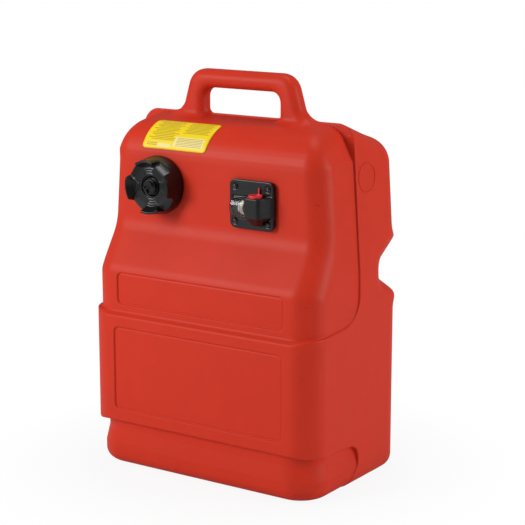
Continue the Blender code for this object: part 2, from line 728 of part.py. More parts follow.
def tank_shell():
    """The hollow can with its handle, threaded filler neck, fitting hole and screw bosses."""
    shell = can("tank_shell", 0)
    cut(shell, sunk_field(LOWER_FIELD_IN, LOWER_FIELD_LOW_Z, BODY_HEIGHT - LOWER_FIELD_DROP, -HALF_DEPTH),
        sunk_field(UPPER_FIELD_IN, UPPER_FIELD_TOP_Z - UPPER_FIELD_HEIGHT, UPPER_FIELD_TOP_Z, SHELF_Y))
    cut(shell, can("cavity", WALL))
    neck = stack("neck", [(NECK_RADIUS, -WALL / 2), (NECK_RADIUS, NECK_HEIGHT)], FILLER, CAP_SEGMENTS)
    fuse(shell, fuse(neck, helix("thread", NECK_RADIUS, FILLER)))
    cut(shell, stack("mouth", [(NECK_BORE, -WALL - OVERRUN), (NECK_BORE, NECK_HEIGHT + OVERRUN)],
                     FILLER, CAP_SEGMENTS))
    for x, y in screw_places():
        fuse(shell, stack("boss", [(BOSS_RADIUS, -BOSS_DEPTH), (BOSS_RADIUS, -WALL / 2)],
                          valve_frame(x, y), SMALL_SEGMENTS))
    for x, y in screw_places():
        cut(shell, stack("pocket", [(INSERT_RADIUS + SEAT, -INSERT_LENGTH - 2 * SEAT),
                                    (INSERT_RADIUS + SEAT, OVERRUN)], valve_frame(x, y), SMALL_SEGMENTS))
    cut(shell, extrude("hole", hole_outline(0), -BOSS_DEPTH - OVERRUN, OVERRUN, VALVE))
    return finish(shell, "tank_shell", (0.61, 0.045, 0.03), 0.38)


def shoulder_label():
    """A thin label bent over the crown, left of the middle."""
    centre_y = PANEL_Y + CROWN_RADIUS
    slope = math.atan((BODY_HEIGHT - TOP_STEP - CROWN_Z) / (-RIDGE_HALF - PANEL_Y))
    centre_z = CROWN_Z - CROWN_RADIUS * math.tan((math.pi / 2 - slope) / 2)
    rings = []
    steps = 2 * CORNER_STEPS
    for step in range(steps + 1):
        share = step / steps
        angle = LABEL_LOW_ANGLE + (LABEL_HIGH_ANGLE - LABEL_LOW_ANGLE) * share
        left = LABEL_LEFT + LABEL_SKEW * share
        ring = []
        for x, radius in ((left, SEAT), (left + LABEL_WIDTH, SEAT),
                          (left + LABEL_WIDTH, SEAT + LABEL_THICKNESS), (left, SEAT + LABEL_THICKNESS)):
            reach = CROWN_RADIUS + radius
            ring.append(Vector((x, centre_y - reach * math.cos(angle), centre_z + reach * math.sin(angle))))
        rings.append(ring)
    label = make_object("shoulder_label", *stitch(rings))
    return finish(label, "shoulder_label", (0.9, 0.74, 0.05), 0.4)


def insert_bottom():
    """Height of the cap insert's inner top face above the panel."""
    return NECK_HEIGHT + CAP_GASKET_THICKNESS + 2 * SEAT


def disc_bottom():
    """Height of the cap disc's underside above the panel."""
    return insert_bottom() + INSERT_TOP + SEAT


def cap_shell():
    """The gripping shell: a cone with a sunk disc, cut by scoops between its grips."""
    inner = NECK_RADIUS + THREAD_DEPTH + THREAD_RADIAL_GAP + INSERT_WALL + SEAT
    low, disc = disc_bottom(), disc_bottom() + CAP_DISC
    bore = VENT_STEM_RADIUS + VENT_STEM_GAP
    well = bore + 2 * VENT_RING_THICKNESS
    profile = [
        (bore, low), (inner, low), (inner, CAP_LIFT_GAP), (CAP_BASE_RADIUS, CAP_LIFT_GAP),
        (CAP_BASE_RADIUS, CAP_FLANGE_HEIGHT), (CAP_TOP_RADIUS, CAP_HEIGHT - CAP_EDGE),
        (CAP_TOP_RADIUS - CAP_EDGE, CAP_HEIGHT), (CAP_POCKET_RADIUS + CAP_POCKET_FLARE, CAP_HEIGHT),
        (CAP_POCKET_RADIUS, disc), (CAP_RING_RADIUS, disc), (CAP_RING_RADIUS, disc + CAP_RING_STEP),
        (CAP_RING_RADIUS - CAP_EDGE, disc + CAP_RING_STEP), (CAP_RING_RADIUS - CAP_EDGE, disc),
        (well, disc), (well, disc - VENT_RING_THICKNESS - SEAT), (bore, disc - VENT_RING_THICKNESS - SEAT),
    ]
    shell = lathe("cap_shell", profile, FILLER, CAP_SEGMENTS)
    for index in range(SCOOP_COUNT):
        turned = FILLER @ Matrix.Rotation(SCOOP_PHASE + math.tau * index / SCOOP_COUNT, 4, "Z")
        side = [Vector((SCOOP_FOOT_RADIUS, SCOOP_FOOT_HEIGHT)),
                Vector((CAP_BASE_RADIUS + OVERRUN, SCOOP_FOOT_HEIGHT)),
                Vector((CAP_BASE_RADIUS + OVERRUN, CAP_HEIGHT + OVERRUN)),
                Vector((CAP_POCKET_RADIUS - OVERRUN, CAP_HEIGHT + OVERRUN)),
                Vector((CAP_POCKET_RADIUS - OVERRUN, disc)), Vector((SCOOP_RADIUS, disc))]
        rings = [[Vector((point.x, across, point.y)) for point in side]
                 for across in (-SCOOP_HALF_WIDTH, SCOOP_HALF_WIDTH)]
        cut(shell, make_object("scoop", *stitch(rings), turned))
    return finish(shell, "cap_shell", (0.03, 0.031, 0.032), 0.45)


def cap_insert():
    """The threaded cup inside the cap."""
    inner = NECK_RADIUS + THREAD_DEPTH + THREAD_RADIAL_GAP
    low, top = insert_bottom(), insert_bottom() + INSERT_TOP
    bore = VENT_STEM_RADIUS + VENT_STEM_GAP
    start = CAP_LIFT_GAP + SEAT
    cup = lathe("cap_insert", [(bore, low), (inner, low), (inner, start), (inner + INSERT_WALL, start),
                               (inner + INSERT_WALL, top), (bore, top)], FILLER, CAP_SEGMENTS)
    fuse(cup, helix("thread", inner, FILLER, outward=False, phase=THREAD_PHASE + math.pi))
    return finish(cup, "cap_insert", (0.05, 0.05, 0.052), 0.5)


def cap_gasket():
    low = NECK_HEIGHT + SEAT
    high = low + CAP_GASKET_THICKNESS
    inner, outer = NECK_BORE, NECK_RADIUS + THREAD_DEPTH - CAP_GASKET_IN
    ring = lathe("cap_gasket", [(inner, low), (outer, low), (outer, high), (inner, high)],
                 FILLER, CAP_SEGMENTS)
    return finish(ring, "cap_gasket", (0.02, 0.02, 0.02), 0.8)


def vent_parts():
    """The vent knob with its stem, the ring under it and the clip that limits its lift."""
    disc = disc_bottom() + CAP_DISC
    seat = disc - VENT_RING_THICKNESS - SEAT
    knob_low = disc + SEAT
    clip_high = insert_bottom() - VENT_LIFT - SEAT
    clip_low = clip_high - VENT_CLIP_THICKNESS
    tail = clip_low - SEAT - VENT_TAIL
    neck = VENT_STEM_RADIUS - VENT_CLIP_GROOVE
    profile = [(VENT_STEM_RADIUS, tail), (VENT_STEM_RADIUS, clip_low - SEAT), (neck, clip_low - SEAT),
               (neck, clip_high + SEAT), (VENT_STEM_RADIUS, clip_high + SEAT),
               (VENT_STEM_RADIUS, knob_low), (VENT_KNOB_RADIUS, knob_low),
               (VENT_KNOB_RADIUS, knob_low + VENT_KNOB_HEIGHT - VENT_BAR_HALF_WIDTH),
               (VENT_KNOB_RADIUS - VENT_BAR_HALF_WIDTH, knob_low + VENT_KNOB_HEIGHT)]
    knob = stack("vent_knob", profile, FILLER)
    bar = rectangle(-VENT_KNOB_RADIUS + VENT_BAR_HALF_WIDTH, VENT_KNOB_RADIUS - VENT_BAR_HALF_WIDTH,
                    -VENT_BAR_HALF_WIDTH, VENT_BAR_HALF_WIDTH, VENT_BAR_HALF_WIDTH / 2, 2)
    turned = FILLER @ Matrix.Rotation(SCOOP_PHASE, 4, "Z")
    fuse(knob, extrude("bar", bar, knob_low + VENT_KNOB_HEIGHT - BOND,
                       knob_low + VENT_KNOB_HEIGHT + VENT_BAR_HEIGHT, turned))
    finish(knob, "vent_knob", (0.035, 0.036, 0.038), 0.4)
    radius = VENT_RING_THICKNESS / 2
    centre, middle = VENT_STEM_RADIUS + SEAT + radius, seat + SEAT + radius
    turns = [math.tau * step / RING_STEPS for step in range(RING_STEPS)]
    profile = [(centre + radius * math.cos(turn), middle + radius * math.sin(turn)) for turn in turns]
    finish(lathe("vent_o_ring", profile, FILLER), "vent_o_ring", (0.015, 0.015, 0.015), 0.7)
    clip = lathe("vent_clip", [(neck + SEAT, clip_low), (VENT_CLIP_RADIUS, clip_low),
                               (VENT_CLIP_RADIUS, clip_high), (neck + SEAT, clip_high)], FILLER)
    finish(clip, "vent_clip", (0.7, 0.7, 0.68), 0.45)


def valve_gasket():
    low, high = SEAT, SEAT + GASKET_THICKNESS
    half_x, half_y = PLATE_HALF_WIDTH - GASKET_MARGIN, PLATE_HALF_HEIGHT - GASKET_MARGIN
    sheet = extrude("valve_gasket", rectangle(-half_x, half_x, -half_y, half_y, PLATE_CORNER - GASKET_MARGIN),
                    low, high, VALVE)
    cut(sheet, extrude("hole", hole_outline(0), -OVERRUN, high + OVERRUN, VALVE))
    for x, y in screw_places():
        cut(sheet, stack("hole", [(SCREW_RADIUS + SCREW_HOLE_GAP, -OVERRUN),
                                  (SCREW_RADIUS + SCREW_HOLE_GAP, high + OVERRUN)],
                         valve_frame(x, y), SMALL_SEGMENTS))
    return finish(sheet, "valve_gasket", (0.02, 0.02, 0.021), 0.8)


def housing():
    """The port housing: faceted front, flared foot and a tapered nose underneath."""
    foot_left, foot_right = HOUSING_LEFT - HOUSING_CHAMFER, HOUSING_RIGHT + HOUSING_FOOT_FLARE
    low_out = PLATE_FRONT - BOND

    def section(level, left, right, far_left, far_right, front):
        chamfer = min(HOUSING_CHAMFER, (right - left) * HOUSING_CHAMFER_SHARE)
        return [Vector((far_left, level, low_out)), Vector((left, level, front - chamfer)),
                Vector((left + chamfer, level, front)), Vector((right - chamfer, level, front)),
                Vector((right, level, front - chamfer)), Vector((far_right, level, low_out))]

    rings = [
        section(HOUSING_HIGH, HOUSING_LEFT, HOUSING_RIGHT, foot_left, foot_right, HOUSING_FRONT),
        section(-HOUSING_LOW, HOUSING_LEFT, HOUSING_RIGHT, foot_left, foot_right, HOUSING_FRONT),
        section(-HOUSING_NOSE_LOW, HOUSING_NOSE_LEFT, HOUSING_NOSE_RIGHT, HOUSING_NOSE_LEFT,
                HOUSING_NOSE_RIGHT, HOUSING_NOSE_FRONT),
    ]
    return make_object("housing", *stitch(rings), VALVE)


def along_y(frame, x, y, out):
    """Frame whose Z runs along the fitting's up direction."""
    return frame @ Matrix.Translation((x, y, out)) @ Matrix.Rotation(-math.pi / 2, 4, "X")


def along_x(frame, x, y, out):
    """Frame whose Z runs along the fitting's left to right direction."""
    return frame @ Matrix.Translation((x, y, out)) @ Matrix.Rotation(math.pi / 2, 4, "Y")


def window_box(gap):
    half = DRUM_HALF_LENGTH + DRUM_SIDE_GAP
    reach = DRUM_RADIUS + WINDOW_GAP
    return rectangle(DRUM_X - half - gap, DRUM_X + half + gap, DRUM_Y - reach - gap,
                     DRUM_Y + reach + gap, WINDOW_GAP, 2)


def valve_body():
    """Plate, port housing, spigot and hose barb in one moulding."""
    body = extrude("valve_body", rectangle(-PLATE_HALF_WIDTH, PLATE_HALF_WIDTH, -PLATE_HALF_HEIGHT,
                                           PLATE_HALF_HEIGHT, PLATE_CORNER), PLATE_BACK, PLATE_FRONT, VALVE)
    fuse(body, housing())
    fuse(body, extrude("spigot", hole_outline(SPIGOT_GAP), -SPIGOT_DEPTH, PLATE_BACK + BOND, VALVE))
    fuse(body, stack("barb", [(BARB_RADIUS, -BARB_LENGTH), (BARB_RADIUS, BOND)],
                     valve_frame(PORT_X, PASSAGE_Y), SMALL_SEGMENTS))
    cut(body, stack("port", [(PORT_BORE, HOUSING_HIGH - PORT_DEPTH), (PORT_BORE, HOUSING_HIGH + OVERRUN)],
                    along_y(VALVE, PORT_X, 0, PORT_OUT)))
    cut(body, stack("passage", [(PASSAGE_BORE, -BARB_LENGTH - OVERRUN), (PASSAGE_BORE, PORT_OUT)],
                    valve_frame(PORT_X, PASSAGE_Y), SMALL_SEGMENTS))
    cut(body, extrude("window", window_box(0), -SPIGOT_DEPTH - OVERRUN, PLATE_FRONT + OVERRUN, VALVE))
    hold = DRUM_HALF_LENGTH + DRUM_SIDE_GAP + PIN_HOLD
    cut(body, stack("pin_bore", [(PIN_RADIUS + PIN_SEAT_GAP, -hold), (PIN_RADIUS + PIN_SEAT_GAP, hold)],
                    along_x(VALVE, DRUM_X, DRUM_Y, DRUM_OUT), SMALL_SEGMENTS))
    through, head = SCREW_RADIUS + SCREW_HOLE_GAP, SCREW_HEAD_RADIUS + SCREW_HOLE_GAP
    for x, y in screw_places():
        cut(body, stack("hole", [(through, -OVERRUN), (through, PLATE_FRONT - SPOT_FACE),
                                 (head, PLATE_FRONT - SPOT_FACE), (head, HOUSING_FRONT)],
                        valve_frame(x, y), SMALL_SEGMENTS))
    groove = lens_outline(LENS_SEAL + 2 * SEAT)
    inner = lens_outline(-LENS_WALL - SEAT)
    ring = extrude("groove", groove, PLATE_FRONT - LENS_GROOVE, PLATE_FRONT + OVERRUN, VALVE)
    cut(ring, extrude("land", inner, -OVERRUN, PLATE_FRONT + 2 * OVERRUN, VALVE))
    cut(body, ring)
    return finish(body, "valve_body", (0.035, 0.037, 0.038), 0.42)


def lens_outline(grow):
    return rectangle(DRUM_X - LENS_HALF_WIDTH - grow, DRUM_X + LENS_HALF_WIDTH + grow,
                     DRUM_Y - LENS_HALF_HEIGHT - grow, DRUM_Y + LENS_HALF_HEIGHT + grow,
                     abs(grow), LENS_CORNER_STEPS)


def lens_dome(name, grow, low):
    """Solid under the lens's curved front, grown or shrunk by a distance."""
    half_x, half_y = LENS_HALF_WIDTH + grow, LENS_HALF_HEIGHT + grow
    rise = LENS_CROWN - LENS_SIDE
    radius = (LENS_HALF_HEIGHT ** 2 + rise ** 2) / (2 * rise) + grow
    centre = PLATE_FRONT + LENS_CROWN + grow - radius
    arc = []
    steps = 2 * CORNER_STEPS
    for step in range(steps + 1):
        y = half_y - 2 * half_y * step / steps
        arc.append(Vector((DRUM_Y + y, centre + math.sqrt(radius ** 2 - y ** 2))))
    side = [Vector((DRUM_Y - half_y, low)), Vector((DRUM_Y + half_y, low))] + arc
    rings = [[Vector((DRUM_X + across, point.x, point.y)) for point in side]
             for across in (-half_x, half_x)]
    return make_object(name, *stitch(rings), VALVE)


def gauge_lens():
    low = PLATE_FRONT - LENS_GROOVE + SEAT
    lens = lens_dome("gauge_lens", 0, low)
    cut(lens, lens_dome("hollow", -LENS_WALL, low - OVERRUN))
    return finish(lens, "gauge_lens", (0.9, 0.9, 0.9), 0.08, alpha=0.25)


def lens_seal():
    """A cord seal round the lens in its groove."""
    low = PLATE_FRONT - LENS_GROOVE + SEAT
    ring = extrude("lens_seal", lens_outline(LENS_SEAL + SEAT), low, PLATE_FRONT, VALVE)
    cut(ring, extrude("inside", lens_outline(SEAT), low - OVERRUN, PLATE_FRONT + OVERRUN, VALVE))
    return finish(ring, "lens_seal", (0.02, 0.02, 0.02), 0.75)


def gauge_scale():
    """A curved strip beside the drum that carries the level marks."""
    left = DRUM_X + DRUM_HALF_LENGTH + DRUM_SIDE_GAP + SEAT
    right = DRUM_X + LENS_HALF_WIDTH - LENS_WALL - SEAT
    half = LENS_HALF_HEIGHT - LENS_WALL - SEAT - SCALE_THICKNESS
    low = PLATE_FRONT + SEAT
    face = [Vector((left, low)), Vector((right, low)), Vector((right, low + SCALE_THICKNESS + SCALE_WIDTH)),
            Vector((left, low + SCALE_THICKNESS))]
    rings = [[Vector((point.x, DRUM_Y + along, point.y)) for point in face] for along in (-half, half)]
    return finish(make_object("gauge_scale", *stitch(rings), VALVE), "gauge_scale", (0.85, 0.85, 0.82), 0.5)


def gauge_pivot():
    return along_x(VALVE, DRUM_X, DRUM_Y, DRUM_OUT)


def arm_direction(angle):
    """Unit vector in the side view: straight back is zero, up is positive."""
    return Vector((0, math.cos(angle), math.sin(angle)))


def gauge_drum():
    """Indicator drum with a hub bored for its pin and a socket for the arm."""
    bore = PIN_RADIUS + PIN_GAP + PIN_SEAT_GAP
    half, web = DRUM_HALF_LENGTH, DRUM_SHELL / 2
    inner = DRUM_RADIUS - DRUM_SHELL
    drum = lathe("gauge_drum", [
        (bore, -half), (DRUM_HUB_RADIUS, -half), (DRUM_HUB_RADIUS, -web), (inner, -web), (inner, -half),
        (DRUM_RADIUS, -half), (DRUM_RADIUS, half), (inner, half), (inner, web), (DRUM_HUB_RADIUS, web),
        (DRUM_HUB_RADIUS, half), (bore, half)], gauge_pivot())
    origin = gauge_pivot().translation
    away = arm_direction(ARM_STUB_ANGLE)
    start = origin + away * (DRUM_RADIUS - ARM_SOCKET)
    boss = sweep("boss", [origin + away * (DRUM_HUB_RADIUS + BOND), origin + away * (DRUM_RADIUS - BOND)],
                 ARM_RADIUS + ARM_SOCKET_GAP + DRUM_SHELL / 2)
    fuse(drum, boss)
    cut(drum, sweep("socket", [start, origin + away * (DRUM_RADIUS + OVERRUN)], ARM_RADIUS + ARM_SOCKET_GAP))
    return finish(drum, "gauge_drum", (0.03, 0.03, 0.03), 0.5)


def gauge_pin():
    half = DRUM_HALF_LENGTH + DRUM_SIDE_GAP + PIN_HOLD - SEAT
    pin = stack("gauge_pin", [(PIN_RADIUS, -half), (PIN_RADIUS, half)], gauge_pivot(), SMALL_SEGMENTS)
    return finish(pin, "gauge_pin", (0.6, 0.6, 0.6), 0.3, 1.0)


def arm_points():
    """Arm path in the world: out of the drum, round a bend and down to the float."""
    origin = gauge_pivot().translation
    away = arm_direction(ARM_STUB_ANGLE)
    start = origin + away * (DRUM_RADIUS - ARM_SOCKET + SEAT)
    corner = origin + away * ARM_STUB
    float_centre = origin + arm_direction(ARM_REST_ANGLE) * ARM_REACH
    along = (float_centre - corner).normalized()
    end = float_centre - along * (FLOAT_RADIUS - FLOAT_SOCKET + SEAT)
    return start, corner, end, float_centre, along


def float_arm():
    start, corner, end, _, _ = arm_points()
    path = bend(start, corner, end, ARM_BEND_RADIUS, ROUND_STEPS)
    arm = sweep("float_arm", path, ARM_RADIUS, SMALL_SEGMENTS // 2)
    return finish(arm, "float_arm", (0.55, 0.55, 0.55), 0.3, 1.0)


def gauge_float():
    """Float cylinder across the tank, with a socket for the arm."""
    _, _, _, centre, along = arm_points()
    frame = Matrix.Translation(centre) @ Matrix.Rotation(math.pi / 2, 4, "Y")
    half, edge = FLOAT_HALF_LENGTH, FLOAT_EDGE
    body = stack("gauge_float", [(FLOAT_RADIUS - edge, -half), (FLOAT_RADIUS, edge - half),
                                 (FLOAT_RADIUS, half - edge), (FLOAT_RADIUS - edge, half)], frame)
    mouth = centre - along * (FLOAT_RADIUS + OVERRUN)
    cut(body, sweep("socket", [mouth, centre - along * (FLOAT_RADIUS - FLOAT_SOCKET)],
                    ARM_RADIUS + ARM_SOCKET_GAP, SMALL_SEGMENTS // 2))
    return finish(body, "gauge_float", (0.08, 0.07, 0.06), 0.7)


def port_plug():
    """Hollow plug with a flange and a pull tab, pushed down into the port."""
    seat = HOUSING_HIGH + SEAT
    radius = PORT_BORE - SEAT
    frame = along_y(VALVE, PORT_X, 0, PORT_OUT)
    plug = stack("port_plug", [(radius, seat - PLUG_STEM_LENGTH), (radius, seat), (PLUG_FLANGE_RADIUS, seat),
                               (PLUG_FLANGE_RADIUS, seat + PLUG_FLANGE_THICKNESS)], frame)
    narrow, wide, step = radius - PLUG_WALL, PLUG_FLANGE_RADIUS - PLUG_WALL, seat + PLUG_FLANGE_THICKNESS / 2
    cut(plug, stack("hollow", [(narrow, seat - PLUG_STEM_LENGTH + PLUG_WALL), (narrow, step), (wide, step),
                               (wide, seat + PLUG_FLANGE_THICKNESS + OVERRUN)], frame))
    back = PORT_OUT - PLUG_FLANGE_RADIUS + PLUG_TAB_IN
    tab = [Vector((PORT_X + x, back + out)) for x, out in
           ((-PLUG_TAB_HALF_WIDTH, 0), (-PLUG_TAB_HALF_WIDTH, PLUG_TAB_THICKNESS),
            (PLUG_TAB_HALF_WIDTH, PLUG_TAB_THICKNESS), (PLUG_TAB_HALF_WIDTH, 0))]
    rings = [[Vector((point.x, level, point.y)) for point in tab]
             for level in (seat + BOND, seat + PLUG_FLANGE_THICKNESS + PLUG_TAB_HEIGHT)]
    fuse(plug, make_object("tab", *stitch(rings), VALVE))
    return finish(plug, "port_plug", (0.72, 0.03, 0.03), 0.35)


def tube_path():
    """Pickup tube path in the world: back from the barb, then down to the strainer."""
    frame = valve_frame(PORT_X, PASSAGE_Y, -TUBE_START)
    start = frame.translation.copy()
    corner = Vector((start.x, PANEL_Y + TUBE_STANDOFF, start.z))
    end = Vector((start.x, corner.y, WALL + STRAINER_FLOOR_GAP + STRAINER_LENGTH - STRAINER_GRIP))
    return start, corner, end


def pickup_tube():
    start, corner, end = tube_path()
    inner = BARB_RADIUS + SEAT
    path = bend(start, corner, end, TUBE_BEND_RADIUS, CORNER_STEPS)
    tube = sweep("pickup_tube", path, inner + TUBE_WALL)
    ahead = start - Vector((0, OVERRUN, 0))
    below = end - Vector((0, 0, OVERRUN))
    cut(tube, sweep("bore", bend(ahead, corner, below, TUBE_BEND_RADIUS, CORNER_STEPS), inner))
    return finish(tube, "pickup_tube", (0.8, 0.8, 0.76), 0.4)


def pickup_strainer():
    """A slotted cup gripping the foot of the pickup tube."""
    _, corner, end = tube_path()
    low = end.z + STRAINER_GRIP - STRAINER_LENGTH
    frame = Matrix.Translation((corner.x, corner.y, low))
    grip = BARB_RADIUS + SEAT + TUBE_WALL + SEAT
    profile = [(grip, STRAINER_LENGTH), (grip, STRAINER_LENGTH - STRAINER_GRIP - SEAT),
               (grip - TUBE_WALL, STRAINER_LENGTH - STRAINER_GRIP - SEAT),
               (grip - TUBE_WALL, STRAINER_LENGTH - STRAINER_GRIP - STRAINER_WALL),
               (STRAINER_RADIUS - STRAINER_WALL, STRAINER_LENGTH - STRAINER_GRIP - 2 * STRAINER_WALL),
               (STRAINER_RADIUS - STRAINER_WALL, STRAINER_WALL), (STRAINER_WALL, STRAINER_WALL),
               (STRAINER_WALL, 0), (STRAINER_RADIUS, 0),
               (STRAINER_RADIUS, STRAINER_LENGTH - STRAINER_WALL),
               (STRAINER_RADIUS - STRAINER_WALL, STRAINER_LENGTH)]
    cup = lathe("pickup_strainer", profile, frame)
    for index in range(STRAINER_SLOTS):
        turned = frame @ Matrix.Rotation(math.tau * index / STRAINER_SLOTS, 4, "Z")
        slot = [Vector((STRAINER_RADIUS - 2 * STRAINER_WALL, -STRAINER_SLOT_HALF)),
                Vector((STRAINER_RADIUS + OVERRUN, -STRAINER_SLOT_HALF)),
                Vector((STRAINER_RADIUS + OVERRUN, STRAINER_SLOT_HALF)),
                Vector((STRAINER_RADIUS - 2 * STRAINER_WALL, STRAINER_SLOT_HALF))]
        cut(cup, extrude("slot", slot, 2 * STRAINER_WALL, 2 * STRAINER_WALL + STRAINER_SLOT_HEIGHT, turned))
    return finish(cup, "pickup_strainer", (0.75, 0.74, 0.68), 0.5)


def fasteners():
    """Four dome-head screws and the brass inserts that they turn into."""
    for index, (x, y) in enumerate(screw_places(), 1):
        frame = valve_frame(x, y)
        seat = PLATE_FRONT - SPOT_FACE + SEAT
        dome = [(SCREW_HEAD_RADIUS * math.cos(step * math.pi / 2 / ROUND_STEPS),
                 seat + SCREW_BOSS_SHARE * SCREW_HEAD_HEIGHT
                 + (1 - SCREW_BOSS_SHARE) * SCREW_HEAD_HEIGHT * math.sin(step * math.pi / 2 / ROUND_STEPS))
                for step in range(ROUND_STEPS)]
        screw = stack("screw", [(SCREW_RADIUS, -SCREW_BELOW_PANEL), (SCREW_RADIUS, seat),
                                (SCREW_HEAD_RADIUS, seat)] + dome, frame, SMALL_SEGMENTS)
        top = seat + SCREW_HEAD_HEIGHT
        reach = SCREW_RECESS_HALF
        recess = rectangle(-reach, reach, -reach, reach, reach / 2, 1)
        cut(screw, extrude("recess", recess, top - SCREW_RECESS, top + OVERRUN, frame))
        finish(screw, f"valve_screw_{index}", (0.05, 0.05, 0.055), 0.35, 0.6)
        bore = SCREW_RADIUS + INSERT_BORE_GAP
        insert = lathe("insert", [(bore, -INSERT_LENGTH - SEAT), (INSERT_RADIUS, -INSERT_LENGTH - SEAT),
                                  (INSERT_RADIUS, -SEAT), (bore, -SEAT)], frame, SMALL_SEGMENTS)
        finish(insert, f"screw_insert_{index}", (0.7, 0.5, 0.2), 0.35, 1.0)


def clear_scene():
    for thing in list(bpy.data.objects):
        bpy.data.objects.remove(thing)


def main():
    clear_scene()
    tank_shell()
    shoulder_label()
    cap_shell()
    cap_insert()
    cap_gasket()
    vent_parts()
    valve_gasket()
    valve_body()
    gauge_lens()
    lens_seal()
    gauge_scale()
    gauge_drum()
    gauge_pin()
    float_arm()
    gauge_float()
    port_plug()
    pickup_tube()
    pickup_strainer()
    fasteners()


main()
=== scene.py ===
"""Looks of the outboard fuel tank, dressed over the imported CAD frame.

Shapes are written in millimetres as fields, negative inside, and turned into meshes in metres.
"""
import math

import bmesh
import bpy
import numpy as np
from mathutils import Matrix, Vector

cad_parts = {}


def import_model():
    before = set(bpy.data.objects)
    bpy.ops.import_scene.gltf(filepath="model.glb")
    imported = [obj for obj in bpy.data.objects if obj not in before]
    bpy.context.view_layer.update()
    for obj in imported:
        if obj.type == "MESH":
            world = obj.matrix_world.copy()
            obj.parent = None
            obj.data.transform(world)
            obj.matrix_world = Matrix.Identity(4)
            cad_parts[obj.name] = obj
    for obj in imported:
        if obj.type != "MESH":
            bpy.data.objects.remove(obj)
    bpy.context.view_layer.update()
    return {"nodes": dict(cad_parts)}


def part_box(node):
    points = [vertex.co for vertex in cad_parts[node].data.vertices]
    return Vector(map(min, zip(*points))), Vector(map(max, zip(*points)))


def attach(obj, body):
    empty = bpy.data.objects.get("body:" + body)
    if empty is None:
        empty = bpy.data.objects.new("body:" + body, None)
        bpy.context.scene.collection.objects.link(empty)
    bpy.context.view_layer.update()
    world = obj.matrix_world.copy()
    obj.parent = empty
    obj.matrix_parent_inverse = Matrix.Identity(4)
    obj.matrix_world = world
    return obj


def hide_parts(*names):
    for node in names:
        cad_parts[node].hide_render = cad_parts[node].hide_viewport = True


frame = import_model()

MM = 0.001
RESERVE = 1e-9
NUDGE = 0.05
SETTLE_STEPS = 2
ARC_STEPS = 8


def place_of(node):
    """Lowest and highest corner of a CAD node, in millimetres."""
    low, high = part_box(node)
    return np.array(low) / MM, np.array(high) / MM


TANK_HIGH = place_of("tank_shell")[1]
HALF_WIDTH = TANK_HIGH[0]
HALF_DEPTH = TANK_HIGH[1]
HEIGHT = TANK_HIGH[2]
CAP_LOW, CAP_HIGH = place_of("cap_shell")
GASKET_LOW, GASKET_HIGH = place_of("valve_gasket")
CAP_CENTRE = (CAP_LOW + CAP_HIGH) / 2
VALVE_CENTRE = (GASKET_LOW + GASKET_HIGH) / 2

# Moulded body
BODY_HEIGHT = 458
WALL = 3.3
PANEL_Y = 39 - HALF_DEPTH
SHELF_Y = 6 - HALF_DEPTH
BELT_CORNER = 34
PANEL_CORNER = 29
TOE_CORNER = 42
FLOOR_RADIUS = 18
TOE_FLOOR_RADIUS = 16
FLOOR_STEP = 0.5
SIDE_STEP = 2.7
TOP_STEP = 3
SLOPE_ROOT = 42
SLOPE_LIP = 30
STEP_Y = 2
STEP_EDGE = 1.3
STEP_ROOT = 1.6
BEYOND = 120
HIP_START = 22
HIP_GROWTH = 0.2
HIP_LARGEST = 34
GROOVE_CORNER_LOSS = 7
PANEL_HIP = 17

# Handle
HANDLE_HALF_DEPTH = 13.5
HANDLE_ROUNDING = 11.5
HANDLE_FLARE = 8
HANDLE_Y = 1.5

# Fields, ring and level marks
FIELD_SINK = 1.5
FIELD_SLOPE = 1.8
FIELD_LINE = 0.7
FIELD_CORNER = 8
MARK_RISE = 0.8
MARK_HALF_HEIGHT = 1.1
MARK_HALF_LENGTH = 4
RING_CENTRE = (28, 390)
RING_RADII = (19.5, 18)
RING_HALF_LINE = 0.8
RELIEF_SINK = 1.2
RELIEF_CELL = 0.6


def joined_max(one, two, radius):
    """Intersection of two fields with its edge rounded."""
    return (np.minimum(np.maximum(one, two), -radius)
            + np.hypot(np.maximum(one + radius, 0), np.maximum(two + radius, 0)))


def joined_min(one, two, radius):
    """Union of two fields with its root filleted."""
    return -joined_max(-one, -two, radius)


def ease(value, start, end):
    share = np.clip((value - start) / (end - start), 0, 1)
    return share * share * (3 - 2 * share)


def rounded(corners, steps=ARC_STEPS):
    """Closed outline from (a, b, radius) corners, each turned into an arc."""
    outline = []
    for index, (a, b, radius) in enumerate(corners):
        corner = Vector((a, b))
        before = (Vector(corners[index - 1][:2]) - corner).normalized()
        after = (Vector(corners[(index + 1) % len(corners)][:2]) - corner).normalized()
        if not radius:
            outline.append(corner)
            continue
        half = before.angle(after) / 2
        middle = corner + (before + after).normalized() * radius / math.sin(half)
        start = corner + before * radius / math.tan(half) - middle
        turn = start.angle_signed(corner + after * radius / math.tan(half) - middle)
        for step in range(steps + 1):
            outline.append(middle + Matrix.Rotation(-turn * step / steps, 2) @ start)
    return np.array(outline)


def rectangle(left, right, low, high, radius):
    return rounded([(left, low, radius), (right, low, radius),
                    (right, high, radius), (left, high, radius)])


def mirrored(right_half):
    left_half = [(-a, b, radius) for a, b, radius in reversed(right_half)]
    return rounded(right_half + left_half)


